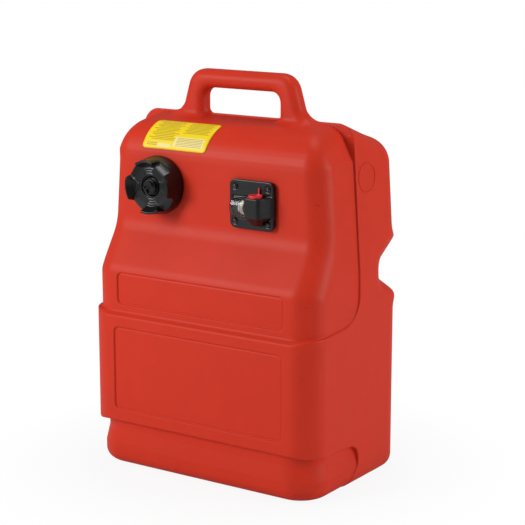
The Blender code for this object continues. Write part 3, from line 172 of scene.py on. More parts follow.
def distance(outline, a, b):
    """Signed distance of the points (a, b) from a closed outline, negative inside."""
    a, b = np.broadcast_arrays(a, b)
    nearest = np.full(a.shape, np.inf)
    inside = np.zeros(a.shape, bool)
    for (a0, b0), (a1, b1) in zip(outline, np.roll(outline, -1, axis=0)):
        along_a, along_b = a1 - a0, b1 - b0
        length = along_a * along_a + along_b * along_b
        if length < RESERVE:
            continue
        from_a, from_b = a - a0, b - b0
        share = np.clip((from_a * along_a + from_b * along_b) / length, 0, 1)
        nearest = np.minimum(nearest, (from_a - along_a * share) ** 2 + (from_b - along_b * share) ** 2)
        if abs(along_b) > RESERVE:
            crosses = (b0 > b) != (b1 > b)
            inside ^= crosses & (from_a < from_b * along_a / along_b)
    return np.where(inside, -1, 1) * np.sqrt(nearest)


def surface(values, axes):
    """Points and quads of the zero surface of a sampled field, one point to each cell that it crosses."""
    inside = values < 0
    shape = tuple(length - 1 for length in values.shape)
    cells = int(np.prod(shape))
    total, count, quads = np.zeros((3, cells)), np.zeros(cells), []
    for axis in range(3):
        low = tuple(slice(None, -1) if k == axis else slice(None) for k in range(3))
        high = tuple(slice(1, None) if k == axis else slice(None) for k in range(3))
        crossing = inside[low] != inside[high]
        index = np.argwhere(crossing)
        before, after = values[low][crossing], values[high][crossing]
        share = before / (before - after)
        places = [axes[k][index[:, k]] for k in range(3)]
        places[axis] = places[axis] + share * (axes[axis][index[:, axis] + 1] - places[axis])
        one, two = (axis + 1) % 3, (axis + 2) % 3
        ring = []
        for back_one, back_two in ((1, 1), (0, 1), (0, 0), (1, 0)):
            cell = index.copy()
            cell[:, one] -= back_one
            cell[:, two] -= back_two
            flat = np.ravel_multi_index(tuple(cell.T), shape)
            ring.append(flat)
            count += np.bincount(flat, minlength=cells)
            for k in range(3):
                total[k] += np.bincount(flat, places[k], cells)
        ring = np.stack(ring, 1)
        leaving = inside[low][crossing]
        ring[~leaving] = ring[~leaving][:, ::-1]
        quads.append(ring)
    used = count > 0
    number = np.cumsum(used) - 1
    return (total[:, used] / count[used]).T, number[np.concatenate(quads)]


def settle(field, points, reach):
    """Move points onto the field's zero surface, by no more than a reach."""
    start = points.copy()
    for _ in range(SETTLE_STEPS):
        value = field(*points.T)
        slope = np.stack([(field(*(points + NUDGE * unit).T) - value) / NUDGE for unit in np.eye(3)], 1)
        steep = np.maximum((slope ** 2).sum(1), 0.2)
        points = points - slope * (value / steep)[:, None]
        points = start + np.clip(points - start, -reach, reach)
    return points


def spread(*bands):
    """Grid values from (end, cell) bands, the first of which only gives the start."""
    values = [bands[0]]
    for end, cell in bands[1:]:
        steps = max(1, round((end - values[-1]) / cell))
        values += list(np.linspace(values[-1], end, steps + 1)[1:])
    return np.array(values)


def even(low, high, cell):
    return [spread(low[k], (high[k], cell)) for k in range(3)]


def new_object(name, points, faces, body):
    """A smooth mesh object from points in metres that rides on a CAD body."""
    mesh = bpy.data.meshes.new(name)
    mesh.from_pydata([tuple(point) for point in points], [], [tuple(face) for face in faces])
    mesh.shade_smooth()
    thing = bpy.data.objects.new(name, mesh)
    bpy.context.scene.collection.objects.link(thing)
    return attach(thing, body)


def solid(name, field, axes, body, to_world=None):
    """The zero surface of a field as an object; to_world turns local millimetres into the frame's."""
    grid = field(axes[0][:, None, None], axes[1][None, :, None], axes[2][None, None, :])
    points, quads = surface(np.broadcast_to(grid, [len(axis) for axis in axes]), axes)
    cell = max(np.diff(axis).min() for axis in axes)
    points = settle(field, points, cell)
    if to_world:
        points = to_world(points)
    return new_object(name, points * MM, quads, body)


def out_of_panel(centre):
    """Turns (right, up, out) millimetres about a centre on the panel into the frame's (x, y, z)."""
    def turned(points):
        return np.stack([centre[0] + points[:, 0], PANEL_Y - points[:, 2], centre[2] + points[:, 1]], 1)
    return turned


RAISED_SIDE = rounded([
    (-HALF_DEPTH, -BEYOND, 0), (HALF_DEPTH, -BEYOND, 0),
    (HALF_DEPTH, 235, 12), (HALF_DEPTH - 43, 260, 8), (HALF_DEPTH - 43, 274, 8), (HALF_DEPTH, 299, 12),
    (HALF_DEPTH, BODY_HEIGHT - 33, 32), (3, BODY_HEIGHT, 12), (-3, BODY_HEIGHT, 12),
    (PANEL_Y, BODY_HEIGHT - 12, 45), (PANEL_Y, 317, SLOPE_ROOT), (-HALF_DEPTH, 262, SLOPE_LIP)])
RECESSED_SIDE = rounded([
    (3.6 - HALF_DEPTH, -BEYOND, 0), (HALF_DEPTH - SIDE_STEP, -BEYOND, 0),
    (HALF_DEPTH - SIDE_STEP, 235, 12), (HALF_DEPTH - 43 - SIDE_STEP, 260, 8),
    (HALF_DEPTH - 43 - SIDE_STEP, 274, 8), (HALF_DEPTH - SIDE_STEP, 299, 12),
    (HALF_DEPTH - SIDE_STEP, BODY_HEIGHT - 36, 32), (3, BODY_HEIGHT - TOP_STEP, 12),
    (-3, BODY_HEIGHT - TOP_STEP, 12), (PANEL_Y, BODY_HEIGHT - 15, 45), (PANEL_Y, 317, SLOPE_ROOT),
    (SHELF_Y, 262, SLOPE_LIP), (7 - HALF_DEPTH, 48, 10), (3.6 - HALF_DEPTH, 27, 10)])
RAISED_FRONT = mirrored([
    (HALF_WIDTH, -BEYOND, 0), (HALF_WIDTH, 270, 220), (HALF_WIDTH - 20.5, BODY_HEIGHT + BEYOND, 0)])
RECESSED_FRONT = mirrored([
    (HALF_WIDTH - 2.5, -BEYOND, 0), (HALF_WIDTH - 2.5, 27, 10), (HALF_WIDTH - 6.2, 48, 10),
    (HALF_WIDTH - SIDE_STEP, 202, 0), (HALF_WIDTH - SIDE_STEP, 270, 220), (HALF_WIDTH - 13, 412, 16),
    (HALF_WIDTH - 30.5, 451.5, 0), (HALF_WIDTH - 84, 451.5 + BEYOND, 0)])
REGION = rounded([
    (BEYOND * 2, -BEYOND, 0), (BEYOND * 2, HEIGHT + BEYOND, 0), (STEP_Y, HEIGHT + BEYOND, 0),
    (STEP_Y, 219, 34), (-34, 211, 73), (SHELF_Y, 207, 0), (-HALF_DEPTH, 202, 0),
    (-BEYOND * 2, 197, 0), (-BEYOND * 2, 67, 0), (-HALF_DEPTH, 62, 0), (SHELF_Y, 59.5, 0), (-34, 57, 73),
    (STEP_Y, 53, 18), (STEP_Y, 27, 12), (-19, 0, 0), (-19, -BEYOND, 0)])
HANDLE = mirrored([(104, 423, 0), (104, 453.5, 0), (89.5, 469.5, 14), (76.4, HEIGHT, 25)])
HANDLE_HOLE = rectangle(-57.7, 57.7, 440, HEIGHT - 23.5, 13)
LOWER_FIELD = rectangle(-130.5, 130.5, 77, 188.5, FIELD_CORNER)
UPPER_FIELD = rectangle(-128.5, 128.5, 215.6, 259, FIELD_CORNER)
MARKS = ((150, 368.5), (155.5, 250.5), (154, 161))


def upright_corner(z):
    """Corner radius of the recessed level, from the toe's past the belt's to the panel's."""
    rise = np.clip((z - 262) / (317 - 262), 0, 1)
    sink = np.clip((202 - z) / (202 - 62), 0, 1)
    return BELT_CORNER + (PANEL_CORNER - BELT_CORNER) * rise + (TOE_CORNER - BELT_CORNER) * sink


def raised_level(x, y, z):
    hip = np.clip(HIP_START + HIP_GROWTH * (y - STEP_Y), HIP_START, HIP_LARGEST)
    high = ease(z, 350, 425)
    groove = ease(z, 212, 235) * (1 - ease(z, 299, 322))
    corner = BELT_CORNER * (1 - high) + hip * high - GROOVE_CORNER_LOSS * groove
    walls = joined_max(distance(RAISED_SIDE, y, z), distance(RAISED_FRONT, x, z), corner)
    return joined_max(walls, -z, FLOOR_RADIUS)


def recessed_level(x, y, z):
    high = ease(z, 395, 440)
    corner = upright_corner(z) * (1 - high) + PANEL_HIP * high
    walls = joined_max(distance(RECESSED_SIDE, y, z), distance(RECESSED_FRONT, x, z), corner)
    return joined_max(walls, FLOOR_STEP - z, TOE_FLOOR_RADIUS)


def body_and_handle(x, y, z):
    raised = joined_max(raised_level(x, y, z), distance(REGION, y, z), STEP_EDGE)
    body = joined_min(raised, recessed_level(x, y, z), STEP_ROOT)
    arch = joined_max(distance(HANDLE, x, z), -distance(HANDLE_HOLE, x, z), 1)
    handle = joined_max(arch, np.abs(y - HANDLE_Y) - HANDLE_HALF_DEPTH, HANDLE_ROUNDING)
    return joined_min(body, handle, HANDLE_FLARE)


def tank(x, y, z):
    """The moulded outside with its sunk fields."""
    form = body_and_handle(x, y, z)
    ahead = y < PANEL_Y
    for field in (LOWER_FIELD, UPPER_FIELD):
        depth = -distance(field, x, z)
        sink = FIELD_SINK * ease(depth, 0, FIELD_SLOPE)
        form = form + (sink + FIELD_LINE * ridge(depth, FIELD_SLOPE, FIELD_SLOPE)) * ahead
    return form


def ring_field(x, y, z):
    """Raised ring on the side, standing on the moulded surface."""
    across = (np.hypot((y - RING_CENTRE[0]) / RING_RADII[0], (z - RING_CENTRE[1]) / RING_RADII[1]) - 1)
    band = np.abs(across) * RING_RADII[1] - RING_HALF_LINE
    return relief(x, y, z, band)


def mark_field(x, y, z):
    """Raised level marks on the front."""
    band = np.full(np.broadcast(x, y, z).shape, np.inf)
    for mark_x, mark_z in MARKS:
        line = np.maximum(np.abs(x - mark_x) - MARK_HALF_LENGTH, np.abs(z - mark_z) - MARK_HALF_HEIGHT)
        band = np.minimum(band, line)
    return relief(x, y, z, band)


def relief(x, y, z, band):
    form = body_and_handle(x, y, z)
    return joined_max(joined_max(form - MARK_RISE, band, 0.4), -form - RELIEF_SINK, 0.1)


def cavity(x, y, z):
    return body_and_handle(x, y, z) + WALL


def open_holes(points, faces, flipped):
    """Leave out the faces over the filler mouth and the fitting's hole."""
    middle = points[faces].mean(1)
    near = middle[:, 1] < PANEL_Y + 3 * WALL
    mouth = np.hypot(middle[:, 0] - CAP_CENTRE[0], middle[:, 2] - CAP_CENTRE[2]) < MOUTH_RADIUS
    across, up = middle[:, 0] - VALVE_CENTRE[0], middle[:, 2] - VALVE_CENTRE[2]
    fitting = (across > -26) & (across < 21) & (up > -16.5) & (up < 12.5)
    kept = faces[~(near & (mouth | fitting))]
    return kept[:, ::-1] if flipped else kept


MOUTH_RADIUS = 20.7


def tank_grid():
    half_x = spread(0, (113, 3.6), (135, 0.9), (158, 2.3), (HALF_WIDTH + 2, 0.8))
    x = np.concatenate([-half_x[:0:-1], half_x])
    y = spread(-HALF_DEPTH - 3, (-97, 0.9), (-66, 1.6), (-5, 3), (9, 0.7), (HALF_DEPTH + 3, 3))
    z = spread(-2.5, (20, 1.8), (54, 1.5), (92, 0.9), (178, 3.4), (232, 0.9), (246, 2), (262, 0.9),
               (440, 3), (HEIGHT + 3, 1.9))
    return [x, y, z]


def tank_object():
    axes = tank_grid()
    values = tank(axes[0][:, None, None], axes[1][None, :, None], axes[2][None, None, :])
    points, quads = surface(values, axes)
    points = settle(tank, points, 0.8)
    outer = open_holes(points, quads, False)
    coarse = [spread(axis[0], (axis[-1], 7)) for axis in axes]
    values = cavity(coarse[0][:, None, None], coarse[1][None, :, None], coarse[2][None, None, :])
    lining, lining_quads = surface(values, coarse)
    lining = settle(cavity, lining, 3)
    inner = open_holes(lining, lining_quads, True)
    faces = np.concatenate([outer, inner + len(points)])
    thing = new_object("tank_skin", np.concatenate([points, lining]) * MM, faces, "tank")
    close_holes(thing)
    return thing


def close_holes(thing):
    """Bridge each hole's outer edge to its inner edge, through the wall."""
    work = bmesh.new()
    work.from_mesh(thing.data)
    loose = [vert for vert in work.verts if not vert.link_faces]
    bmesh.ops.delete(work, geom=loose, context="VERTS")
    for centre in (CAP_CENTRE, VALVE_CENTRE):
        rim = [edge for edge in work.edges if len(edge.link_faces) == 1
               and abs(edge.verts[0].co.x / MM - centre[0]) < 2 * MOUTH_RADIUS]
        bmesh.ops.bridge_loops(work, edges=rim)
    for face in work.faces:
        face.smooth = True
    work.to_mesh(thing.data)
    work.free()


# Filler neck and screw cap, in millimetres right, up and out of the panel
NECK_BORE = 19
NECK_RADIUS = 22.4
NECK_HEIGHT = 14
NECK_ROOT = 2.4
THREAD_PITCH = 5
THREAD_RISE = 1.6
THREAD_HALF = 1.3
THREAD_LOW = 3
THREAD_HIGH = 11.5
CAP_BASE = 37.3
CAP_TOP = 34
CAP_FLANGE = 6
CAP_HEIGHT = 30.5
CAP_LIFT = 0.9
CAP_EDGE = 0.9
CAP_DISC = 21.1
CAP_UNDERSIDE = 18.5
CAP_INSIDE = 26.9
POCKET_RADIUS = 25.4
POCKET_FLARE = 6
RING_PLACES = (16.4, 19.6, 22.8)
RING_HEIGHT = 0.4
RING_HALF = 1.3
WELL_INNER = 10.4
WELL_OUTER = 14.4
WELL_DEPTH = 2.2
SCOOP_PHASE = math.radians(52)
SCOOP_HALF = 9
SCOOP_SPREAD = 0.11
SCOOP_START = 28.6
SCOOP_SLOPE = (0.87, 0.494)
SCOOP_LOW = 7
SCOOP_ROOT = 1.6
VENT_BORE = 3.5

# Vent knob
KNOB_RADIUS = 9.6
KNOB_LOW = 21.4
KNOB_DISC = 23.6
KNOB_RIM = 0.7
KNOB_TOP = 26.8
KNOB_TURN = math.radians(41)
KNOB_BAR = (6.6, 1.0)
KNOB_CROSS = (6.0, 0.9, 5.0)
STEM_RADIUS = 3
STEM_NECK = 2.2
STEM_LOW = 11.4
STEM_NECK_BAND = (12.9, 14.7)

# Fuel fitting, in millimetres right, up and out of the panel
PLATE_HALF = (32.2, 30.4)
PLATE_CORNER = 8
PLATE_BACK = 2.1
PLATE_FRONT = 7.1
PLATE_EDGE = 1.3
HOUSING_LEFT = 0.8
HOUSING_RIGHT = 21.8
HOUSING_FLARE = 0.5
HOUSING_FRONT = 25.2
HOUSING_HIGH = 11.3
HOUSING_LOW = -12.7
HOUSING_EDGE = 3.4
NOSE = (6.5, 14.5, -24.3, 14.5)
NOSE_TIP = 2.5
HOUSING_ROOT = 1.6
PORT = (12.4, 16.2)
PORT_BORE = 5.5
PORT_LOW = -7.7
PASSAGE_UP = -7.5
PASSAGE_BORE = 2.3
BARB_RADIUS = 3.5
BARB_END = -16
BARB_RIDGE = 0.5
BARB_PITCH = 3.6
SPIGOT = (-25.5, 20.5, -16, 12)
SPIGOT_END = -2.4
SCREW_AT = ((-24.1, 21.7), (24.1, 21.7), (-24.1, -21.7), (24.1, -21.7))
SCREW_HOLE = 2.3
SPOT_RADIUS = 4.4
SPOT_LEVEL = 6.6
DRUM_AT = (-15.5, -3.5)
WINDOW_HALF = (7.9, 10.4)
LENS_HALF = (11.2, 12.7)
LENS_LOW = 6.2
LENS_TOP = 16.4
LENS_RADIUS = 19.5
LENS_WALL = 1.3
LENS_EDGE = 1.4
GROOVE_LEVEL = 5.9

# Screws, bosses and plug
SCREW_TOP = 9.5
SCREW_DOME = 4.4
SCREW_HEAD = 4
SCREW_SEAT = 6.9
SCREW_SHANK = 1.85
SCREW_THREAD = 0.2
SCREW_PITCH = 1.2
SCREW_END = -6.2
CROSS_HALF = (2.1, 0.5)
CROSS_FLOOR = 8.1
BOSS_RADIUS = 6.2
BOSS_END = -11
BOSS_BORE = 3.6
BOSS_FLOOR = -7.8
PLUG_FLANGE = 8.75
PLUG_LOW = 11.6
PLUG_TOP = 15
PLUG_STEM = 5.2
PLUG_END = 2.6
PLUG_CUP = 3.9
PLUG_DISH = 6.6
PLUG_TAB = (1.1, 8.2, 9.1, 22.5)
PLUG_EDGE = 0.6

# Label, bent over the crown
LABEL_LEFT = -110
LABEL_WIDTH = 98.5
LABEL_SKEW = 6
LABEL_TURN = (math.radians(15), math.radians(73))
LABEL_RADIUS = 45
LABEL_RISE = (0.3, 0.75)
LABEL_STEPS = (30, 24)
LABEL_ROUND = 4


def spin(x, y, angle):
    """The same point seen in axes turned by an angle."""
    return x * math.cos(angle) + y * math.sin(angle), y * math.cos(angle) - x * math.sin(angle)


def slab(value, low, high):
    return np.maximum(low - value, value - high)


def ridge(value, centre, half):
    """A smooth bump of height one about a centre."""
    return ease(half - np.abs(value - centre), 0, half)


def neck_field(x, y, h):
    around = np.hypot(x, y)
    turn = np.arctan2(y, x) / math.tau
    phase = (h / THREAD_PITCH - turn + 0.5) % 1 - 0.5
    thread = ridge(phase * THREAD_PITCH, 0, THREAD_HALF) * ease(h, THREAD_LOW - 1, THREAD_LOW)
    thread = thread * (1 - ease(h, THREAD_HIGH, THREAD_HIGH + 1))
    root = NECK_ROOT * (1 - ease(h, -1, NECK_ROOT))
    outside = around - NECK_RADIUS - root - THREAD_RISE * thread
    wall = joined_max(outside, slab(h, -WALL, NECK_HEIGHT), 0.6)
    return joined_max(wall, NECK_BORE - around, 0.5)


def boss_field(x, y, h):
    tube = np.full(np.broadcast(x, y, h).shape, np.inf)
    for across, up in SCREW_AT:
        around = np.hypot(x - across, y - up)
        boss = joined_max(around - BOSS_RADIUS, slab(h, BOSS_END, -WALL / 2), 0.5)
        tube = np.minimum(tube, joined_max(boss, -np.maximum(around - BOSS_BORE, BOSS_FLOOR - h), 0.3))
    return tube


def scoop(x, y, h):
    """The four hollows between the grips, deepest at the flange."""
    deepest = np.full(np.broadcast(x, y, h).shape, np.inf)
    for quarter in range(4):
        out, across = spin(x, y, SCOOP_PHASE + quarter * math.pi / 2)
        slope = SCOOP_SLOPE[0] * (CAP_DISC - h) + SCOOP_SLOPE[1] * (SCOOP_START - out)
        floor_level = joined_max(joined_min(CAP_DISC - h, slope, 3), SCOOP_LOW - h, 1.5)
        side = np.abs(across) - SCOOP_HALF - SCOOP_SPREAD * (h - SCOOP_LOW)
        hollow = joined_max(joined_max(side, floor_level, SCOOP_ROOT), WELL_OUTER - out, 1)
        deepest = np.minimum(deepest, hollow)
    return deepest


def cap_field(x, y, h):
    around = np.hypot(x, y)
    share = np.clip((h - CAP_FLANGE) / (CAP_HEIGHT - CAP_FLANGE), 0, 1.2)
    body = joined_max(around - CAP_BASE + (CAP_BASE - CAP_TOP) * share, h - CAP_HEIGHT, CAP_EDGE)
    body = joined_max(body, CAP_LIFT - h, 0.6)
    level = CAP_DISC - WELL_DEPTH * (ease(around, WELL_INNER - 0.3, WELL_INNER)
                                     - ease(around, WELL_OUTER - 0.6, WELL_OUTER))
    for place in RING_PLACES:
        level = level + RING_HEIGHT * ridge(around, place, RING_HALF)
    flare = POCKET_FLARE * np.clip((h - CAP_DISC) / (CAP_HEIGHT - CAP_DISC), 0, 1.2)
    pocket = joined_max(around - POCKET_RADIUS - flare, level - h, 0.8)
    body = joined_max(body, -np.minimum(pocket, scoop(x, y, h)), 0.6)
    inside = joined_max(around - CAP_INSIDE, h - CAP_UNDERSIDE, 0.4)
    return joined_max(body, -np.minimum(inside, around - VENT_BORE), 0.3)


def knob_field(x, y, h):
    around = np.hypot(x, y)
    level = KNOB_DISC + KNOB_RIM * ridge(around, KNOB_RADIUS - 1, 1.2)
    disc = joined_max(around - KNOB_RADIUS, slab(h, KNOB_LOW, level), 0.4)
    along, across = spin(x, y, KNOB_TURN)
    main = np.maximum(np.abs(along) - KNOB_BAR[0], np.abs(across) - KNOB_BAR[1])
    past_end = np.abs(np.abs(along) - KNOB_CROSS[0]) - KNOB_CROSS[1]
    ends = np.maximum(past_end, np.abs(across) - KNOB_CROSS[2])
    bars = joined_max(np.minimum(main, ends), slab(h, KNOB_LOW, KNOB_TOP), 0.35)
    narrow = (h > STEM_NECK_BAND[0]) & (h < STEM_NECK_BAND[1])
    stem = np.maximum(around - np.where(narrow, STEM_NECK, STEM_RADIUS), slab(h, STEM_LOW, KNOB_DISC))
    return np.minimum(joined_min(disc, bars, 0.4), stem)


def housing_field(x, y, h):
    """Box with a sloping right flank, drawn in below to a blunt point."""
    drawn = np.clip((HOUSING_LOW - y) / (HOUSING_LOW - NOSE[2]), 0, 1)
    left = HOUSING_LEFT + (NOSE[0] - HOUSING_LEFT) * drawn
    front = HOUSING_FRONT + (NOSE[3] - HOUSING_FRONT) * drawn
    right = HOUSING_RIGHT + (NOSE[1] - HOUSING_RIGHT) * drawn + HOUSING_FLARE * (front - h)
    walls = joined_max(joined_max(left - x, x - right, 0.5), h - front, HOUSING_EDGE)
    ends = joined_max(y - HOUSING_HIGH, NOSE[2] - y, 0.5)
    return joined_max(joined_max(walls, ends, NOSE_TIP - 1.4 * (y > 0)), PLATE_BACK - h, 0.2)


def valve_field(x, y, h):
    """Plate, housing, spigot and barb in one moulding, with the port, window and screw holes."""
    rim = distance(PLATE_OUTLINE, x, y)
    plate = joined_max(rim, slab(h, PLATE_BACK, PLATE_FRONT), PLATE_EDGE)
    body = joined_min(plate, housing_field(x, y, h), HOUSING_ROOT)
    spigot = np.maximum(slab(x, *SPIGOT[:2]), slab(y, *SPIGOT[2:]))
    spigot = np.maximum(spigot, slab(h, SPIGOT_END, PLATE_FRONT - 1))
    body = np.minimum(body, spigot)
    around = np.hypot(x - PORT[0], y - PASSAGE_UP)
    teeth = BARB_RIDGE * ((-h / BARB_PITCH) % 1) * (h < SPIGOT_END - 1)
    body = np.minimum(body, np.maximum(around - BARB_RADIUS - teeth, slab(h, BARB_END, PLATE_BACK)))
    body = np.maximum(body, -np.maximum(around - PASSAGE_BORE, h - PORT[1]))
    port = np.maximum(np.hypot(x - PORT[0], h - PORT[1]) - PORT_BORE, PORT_LOW - y)
    body = joined_max(body, -port, 0.5)
    across, up = np.abs(x - DRUM_AT[0]), np.abs(y - DRUM_AT[1])
    window = np.maximum(np.maximum(across - WINDOW_HALF[0], up - WINDOW_HALF[1]), h - HOUSING_FRONT)
    outside = np.maximum(across - LENS_HALF[0], up - LENS_HALF[1])
    groove = np.maximum(np.maximum(outside - 1.5, -outside - LENS_WALL - 0.3), GROOVE_LEVEL - h)
    body = np.maximum(body, -np.minimum(window, groove))
    for place_x, place_y in SCREW_AT:
        away = np.hypot(x - place_x, y - place_y)
        spot = joined_max(away - SPOT_RADIUS, SPOT_LEVEL - h, 0.2)
        body = joined_max(body, -np.minimum(away - SCREW_HOLE, spot), 0.25)
    return body


PLATE_OUTLINE = rectangle(-PLATE_HALF[0], PLATE_HALF[0], -PLATE_HALF[1], PLATE_HALF[1], PLATE_CORNER)


def lens_field(x, y, h):
    """Clear bulging window, open at the back."""
    across, up = np.abs(x - DRUM_AT[0]), np.abs(y - DRUM_AT[1])
    crown = np.hypot(y - DRUM_AT[1], h - LENS_TOP + LENS_RADIUS) - LENS_RADIUS
    shell = joined_max(joined_max(across - LENS_HALF[0], crown, LENS_EDGE), up - LENS_HALF[1], 0.8)
    hollow = np.maximum(np.maximum(across - LENS_HALF[0], crown), up - LENS_HALF[1]) + LENS_WALL
    return joined_max(joined_max(shell, LENS_LOW - h, 0.2), -hollow, 0.2)


def screw_field(x, y, h):
    around = np.hypot(x, y)
    dome = np.hypot(around, h - SCREW_TOP + SCREW_DOME) - SCREW_DOME
    head = joined_max(joined_max(dome, around - SCREW_HEAD, 0.2), SCREW_SEAT - h, 0.2)
    along, across = spin(x, y, math.radians(28))
    one = np.maximum(np.abs(along) - CROSS_HALF[0], np.abs(across) - CROSS_HALF[1])
    two = np.maximum(np.abs(across) - CROSS_HALF[0], np.abs(along) - CROSS_HALF[1])
    recess = np.maximum(np.minimum(one, two), CROSS_FLOOR + 0.5 * around - h)
    turn = np.arctan2(y, x) / math.tau
    phase = (h / SCREW_PITCH - turn + 0.5) % 1 - 0.5
    thread = SCREW_THREAD * (1 - 2 * np.abs(phase)) * (h < 0)
    shank = around - SCREW_SHANK - thread + SCREW_THREAD
    shank = joined_max(shank, slab(h, SCREW_END, SCREW_SEAT + 1), 0.3)
    return np.minimum(joined_max(head, -recess, 0.15), shank)


def plug_field(x, y, h):
    """Dished flange on a hollow stem, with a thin pull tab standing at its back."""
    around = np.hypot(x - PORT[0], h - PORT[1])
    flange = joined_max(around - PLUG_FLANGE, slab(y, PLUG_LOW, PLUG_TOP), PLUG_EDGE)
    stem = joined_max(around - PLUG_STEM, slab(y, PLUG_END, PLUG_LOW + 0.5), 0.4)
    dish = joined_max(around - PLUG_DISH, PLUG_LOW + 1.6 - y, 0.5)
    cup = np.maximum(around - PLUG_CUP, PLUG_END + 1.3 - y)
    body = joined_max(np.minimum(flange, stem), -np.minimum(dish, cup), 0.3)
    half, low, high, top = PLUG_TAB
    tab = joined_max(joined_max(np.abs(x - PORT[0]) - half, slab(y, PLUG_LOW + 0.4, top), 0.5),
                     slab(h, low, high), 0.4)
    return joined_min(body, tab, 0.5)


def local_solid(name, field, low, high, cell, centre, body):
    return solid(name, field, even(low, high, cell), body, out_of_panel(centre))


def label_object():
    """A thin sheet over the crown, its corners rounded, with its own UV map for the ruling."""
    columns, rows = LABEL_STEPS
    centre_y, centre_z = PANEL_Y + LABEL_RADIUS, label_centre_height()
    points, places = [], []
    for lift in LABEL_RISE:
        for row in range(rows + 1):
            up = row / rows
            angle = LABEL_TURN[0] + (LABEL_TURN[1] - LABEL_TURN[0]) * up
            height = up * (LABEL_TURN[1] - LABEL_TURN[0]) * LABEL_RADIUS
            whole = (LABEL_TURN[1] - LABEL_TURN[0]) * LABEL_RADIUS
            near = max(0, LABEL_ROUND - min(height, whole - height))
            short = LABEL_ROUND - math.sqrt(max(0, LABEL_ROUND ** 2 - near ** 2))
            for column in range(columns + 1):
                along = column / columns
                x = LABEL_LEFT + LABEL_SKEW * up + short + (LABEL_WIDTH - 2 * short) * along
                reach = LABEL_RADIUS + lift
                points.append((x, centre_y - reach * math.cos(angle), centre_z + reach * math.sin(angle)))
                places.append(((x - LABEL_LEFT - LABEL_SKEW * up) / LABEL_WIDTH, up))
    return sheet("label_skin", np.array(points), places, rows, columns)


def label_centre_height():
    """Height of the crown arc's centre, where the arc meets both the panel and the roof's slope."""
    slope = math.atan2(CROWN_DROP - TOP_STEP, -3 - PANEL_Y)
    return BODY_HEIGHT - CROWN_DROP - LABEL_RADIUS * math.tan((math.pi / 2 - slope) / 2)


CROWN_DROP = 15


def sheet(name, points, places, rows, columns):
    """Two layers of grid points closed into a thin solid."""
    wide, layer = columns + 1, (rows + 1) * (columns + 1)
    faces = []
    for row in range(rows):
        for column in range(columns):
            corner = row * wide + column
            faces.append((corner + wide, corner + wide + 1, corner + 1, corner))
            faces.append(tuple(layer + corner + place for place in (0, 1, wide + 1, wide)))
    edge = [column for column in range(columns)]
    edge += [row * wide + columns for row in range(rows)]
    edge += [rows * wide + column for column in range(columns, 0, -1)]
    edge += [row * wide for row in range(rows, 0, -1)]
    for here, there in zip(edge, edge[1:] + edge[:1]):
        faces.append((here, there, layer + there, layer + here))
    thing = new_object(name, points * MM, faces, "tank")
    layout = thing.data.uv_layers.new(name="ruling")
    for loop in thing.data.loops:
        layout.data[loop.index].uv = places[loop.vertex_index]
    return thing


def shader(name, slot_colour, roughness, grain=0.0, grain_size=0.4, mottle=0.04, metallic=0.0,
           transmission=0.0, rough_spread=0.05, specular=0.5, bending=1.5):
    """A Principled material with noise in its colour, roughness and relief. Sizes are in millimetres."""
    material = bpy.data.materials.new(name)
    material.use_nodes = True
    nodes, links = material.node_tree.nodes, material.node_tree.links
    principled = nodes["Principled BSDF"]
    principled.inputs["Metallic"].default_value = metallic
    principled.inputs["Transmission Weight"].default_value = transmission
    principled.inputs["Specular IOR Level"].default_value = specular
    principled.inputs["IOR"].default_value = bending
    place = nodes.new("ShaderNodeTexCoord")
    fine, broad = nodes.new("ShaderNodeTexNoise"), nodes.new("ShaderNodeTexNoise")
    fine.inputs["Scale"].default_value = 1 / (grain_size * MM)
    fine.inputs["Detail"].default_value = 3
    broad.inputs["Scale"].default_value = 1 / (35 * MM)
    broad.inputs["Detail"].default_value = 4
    for noise in (fine, broad):
        links.new(place.outputs["Object"], noise.inputs["Vector"])
    tint = nodes.new("ShaderNodeMix")
    tint.data_type = "RGBA"
    tint.inputs["A"].default_value = (*[part * (1 - mottle) for part in slot_colour], 1)
    tint.inputs["B"].default_value = (*[min(1, part * (1 + mottle)) for part in slot_colour], 1)
    links.new(broad.outputs["Fac"], tint.inputs["Factor"])
    links.new(tint.outputs["Result"], principled.inputs["Base Color"])
    gloss = nodes.new("ShaderNodeMapRange")
    gloss.inputs["To Min"].default_value = roughness - rough_spread
    gloss.inputs["To Max"].default_value = roughness + rough_spread
    links.new(broad.outputs["Fac"], gloss.inputs["Value"])
    links.new(gloss.outputs["Result"], principled.inputs["Roughness"])
    if grain:
        relief = nodes.new("ShaderNodeBump")
        relief.inputs["Distance"].default_value = grain * MM
        relief.inputs["Strength"].default_value = 1
        links.new(fine.outputs["Fac"], relief.inputs["Height"])
        links.new(relief.outputs["Normal"], principled.inputs["Normal"])
    return material


def dress(thing, material):
    thing.data.materials.clear()
    thing.data.materials.append(material)
    return thing


def strips(nodes, links, u, v, boxes):
    """One inside any of the (u, v, half u, half v) boxes and zero outside."""
    total = None
    for centre_u, centre_v, half_u, half_v in boxes:
        inside = None
        for value, centre, half in ((u, centre_u, half_u), (v, centre_v, half_v)):
            test = nodes.new("ShaderNodeMath")
            test.operation = "COMPARE"
            links.new(value, test.inputs[0])
            test.inputs[1].default_value = centre
            test.inputs[2].default_value = half
            inside = joined(nodes, links, "MULTIPLY", inside, test.outputs[0])
        total = joined(nodes, links, "MAXIMUM", total, inside)
    return total


def joined(nodes, links, operation, one, two):
    if one is None:
        return two
    both = nodes.new("ShaderNodeMath")
    both.operation = operation
    links.new(one, both.inputs[0])
    links.new(two, both.inputs[1])
    return both.outputs[0]


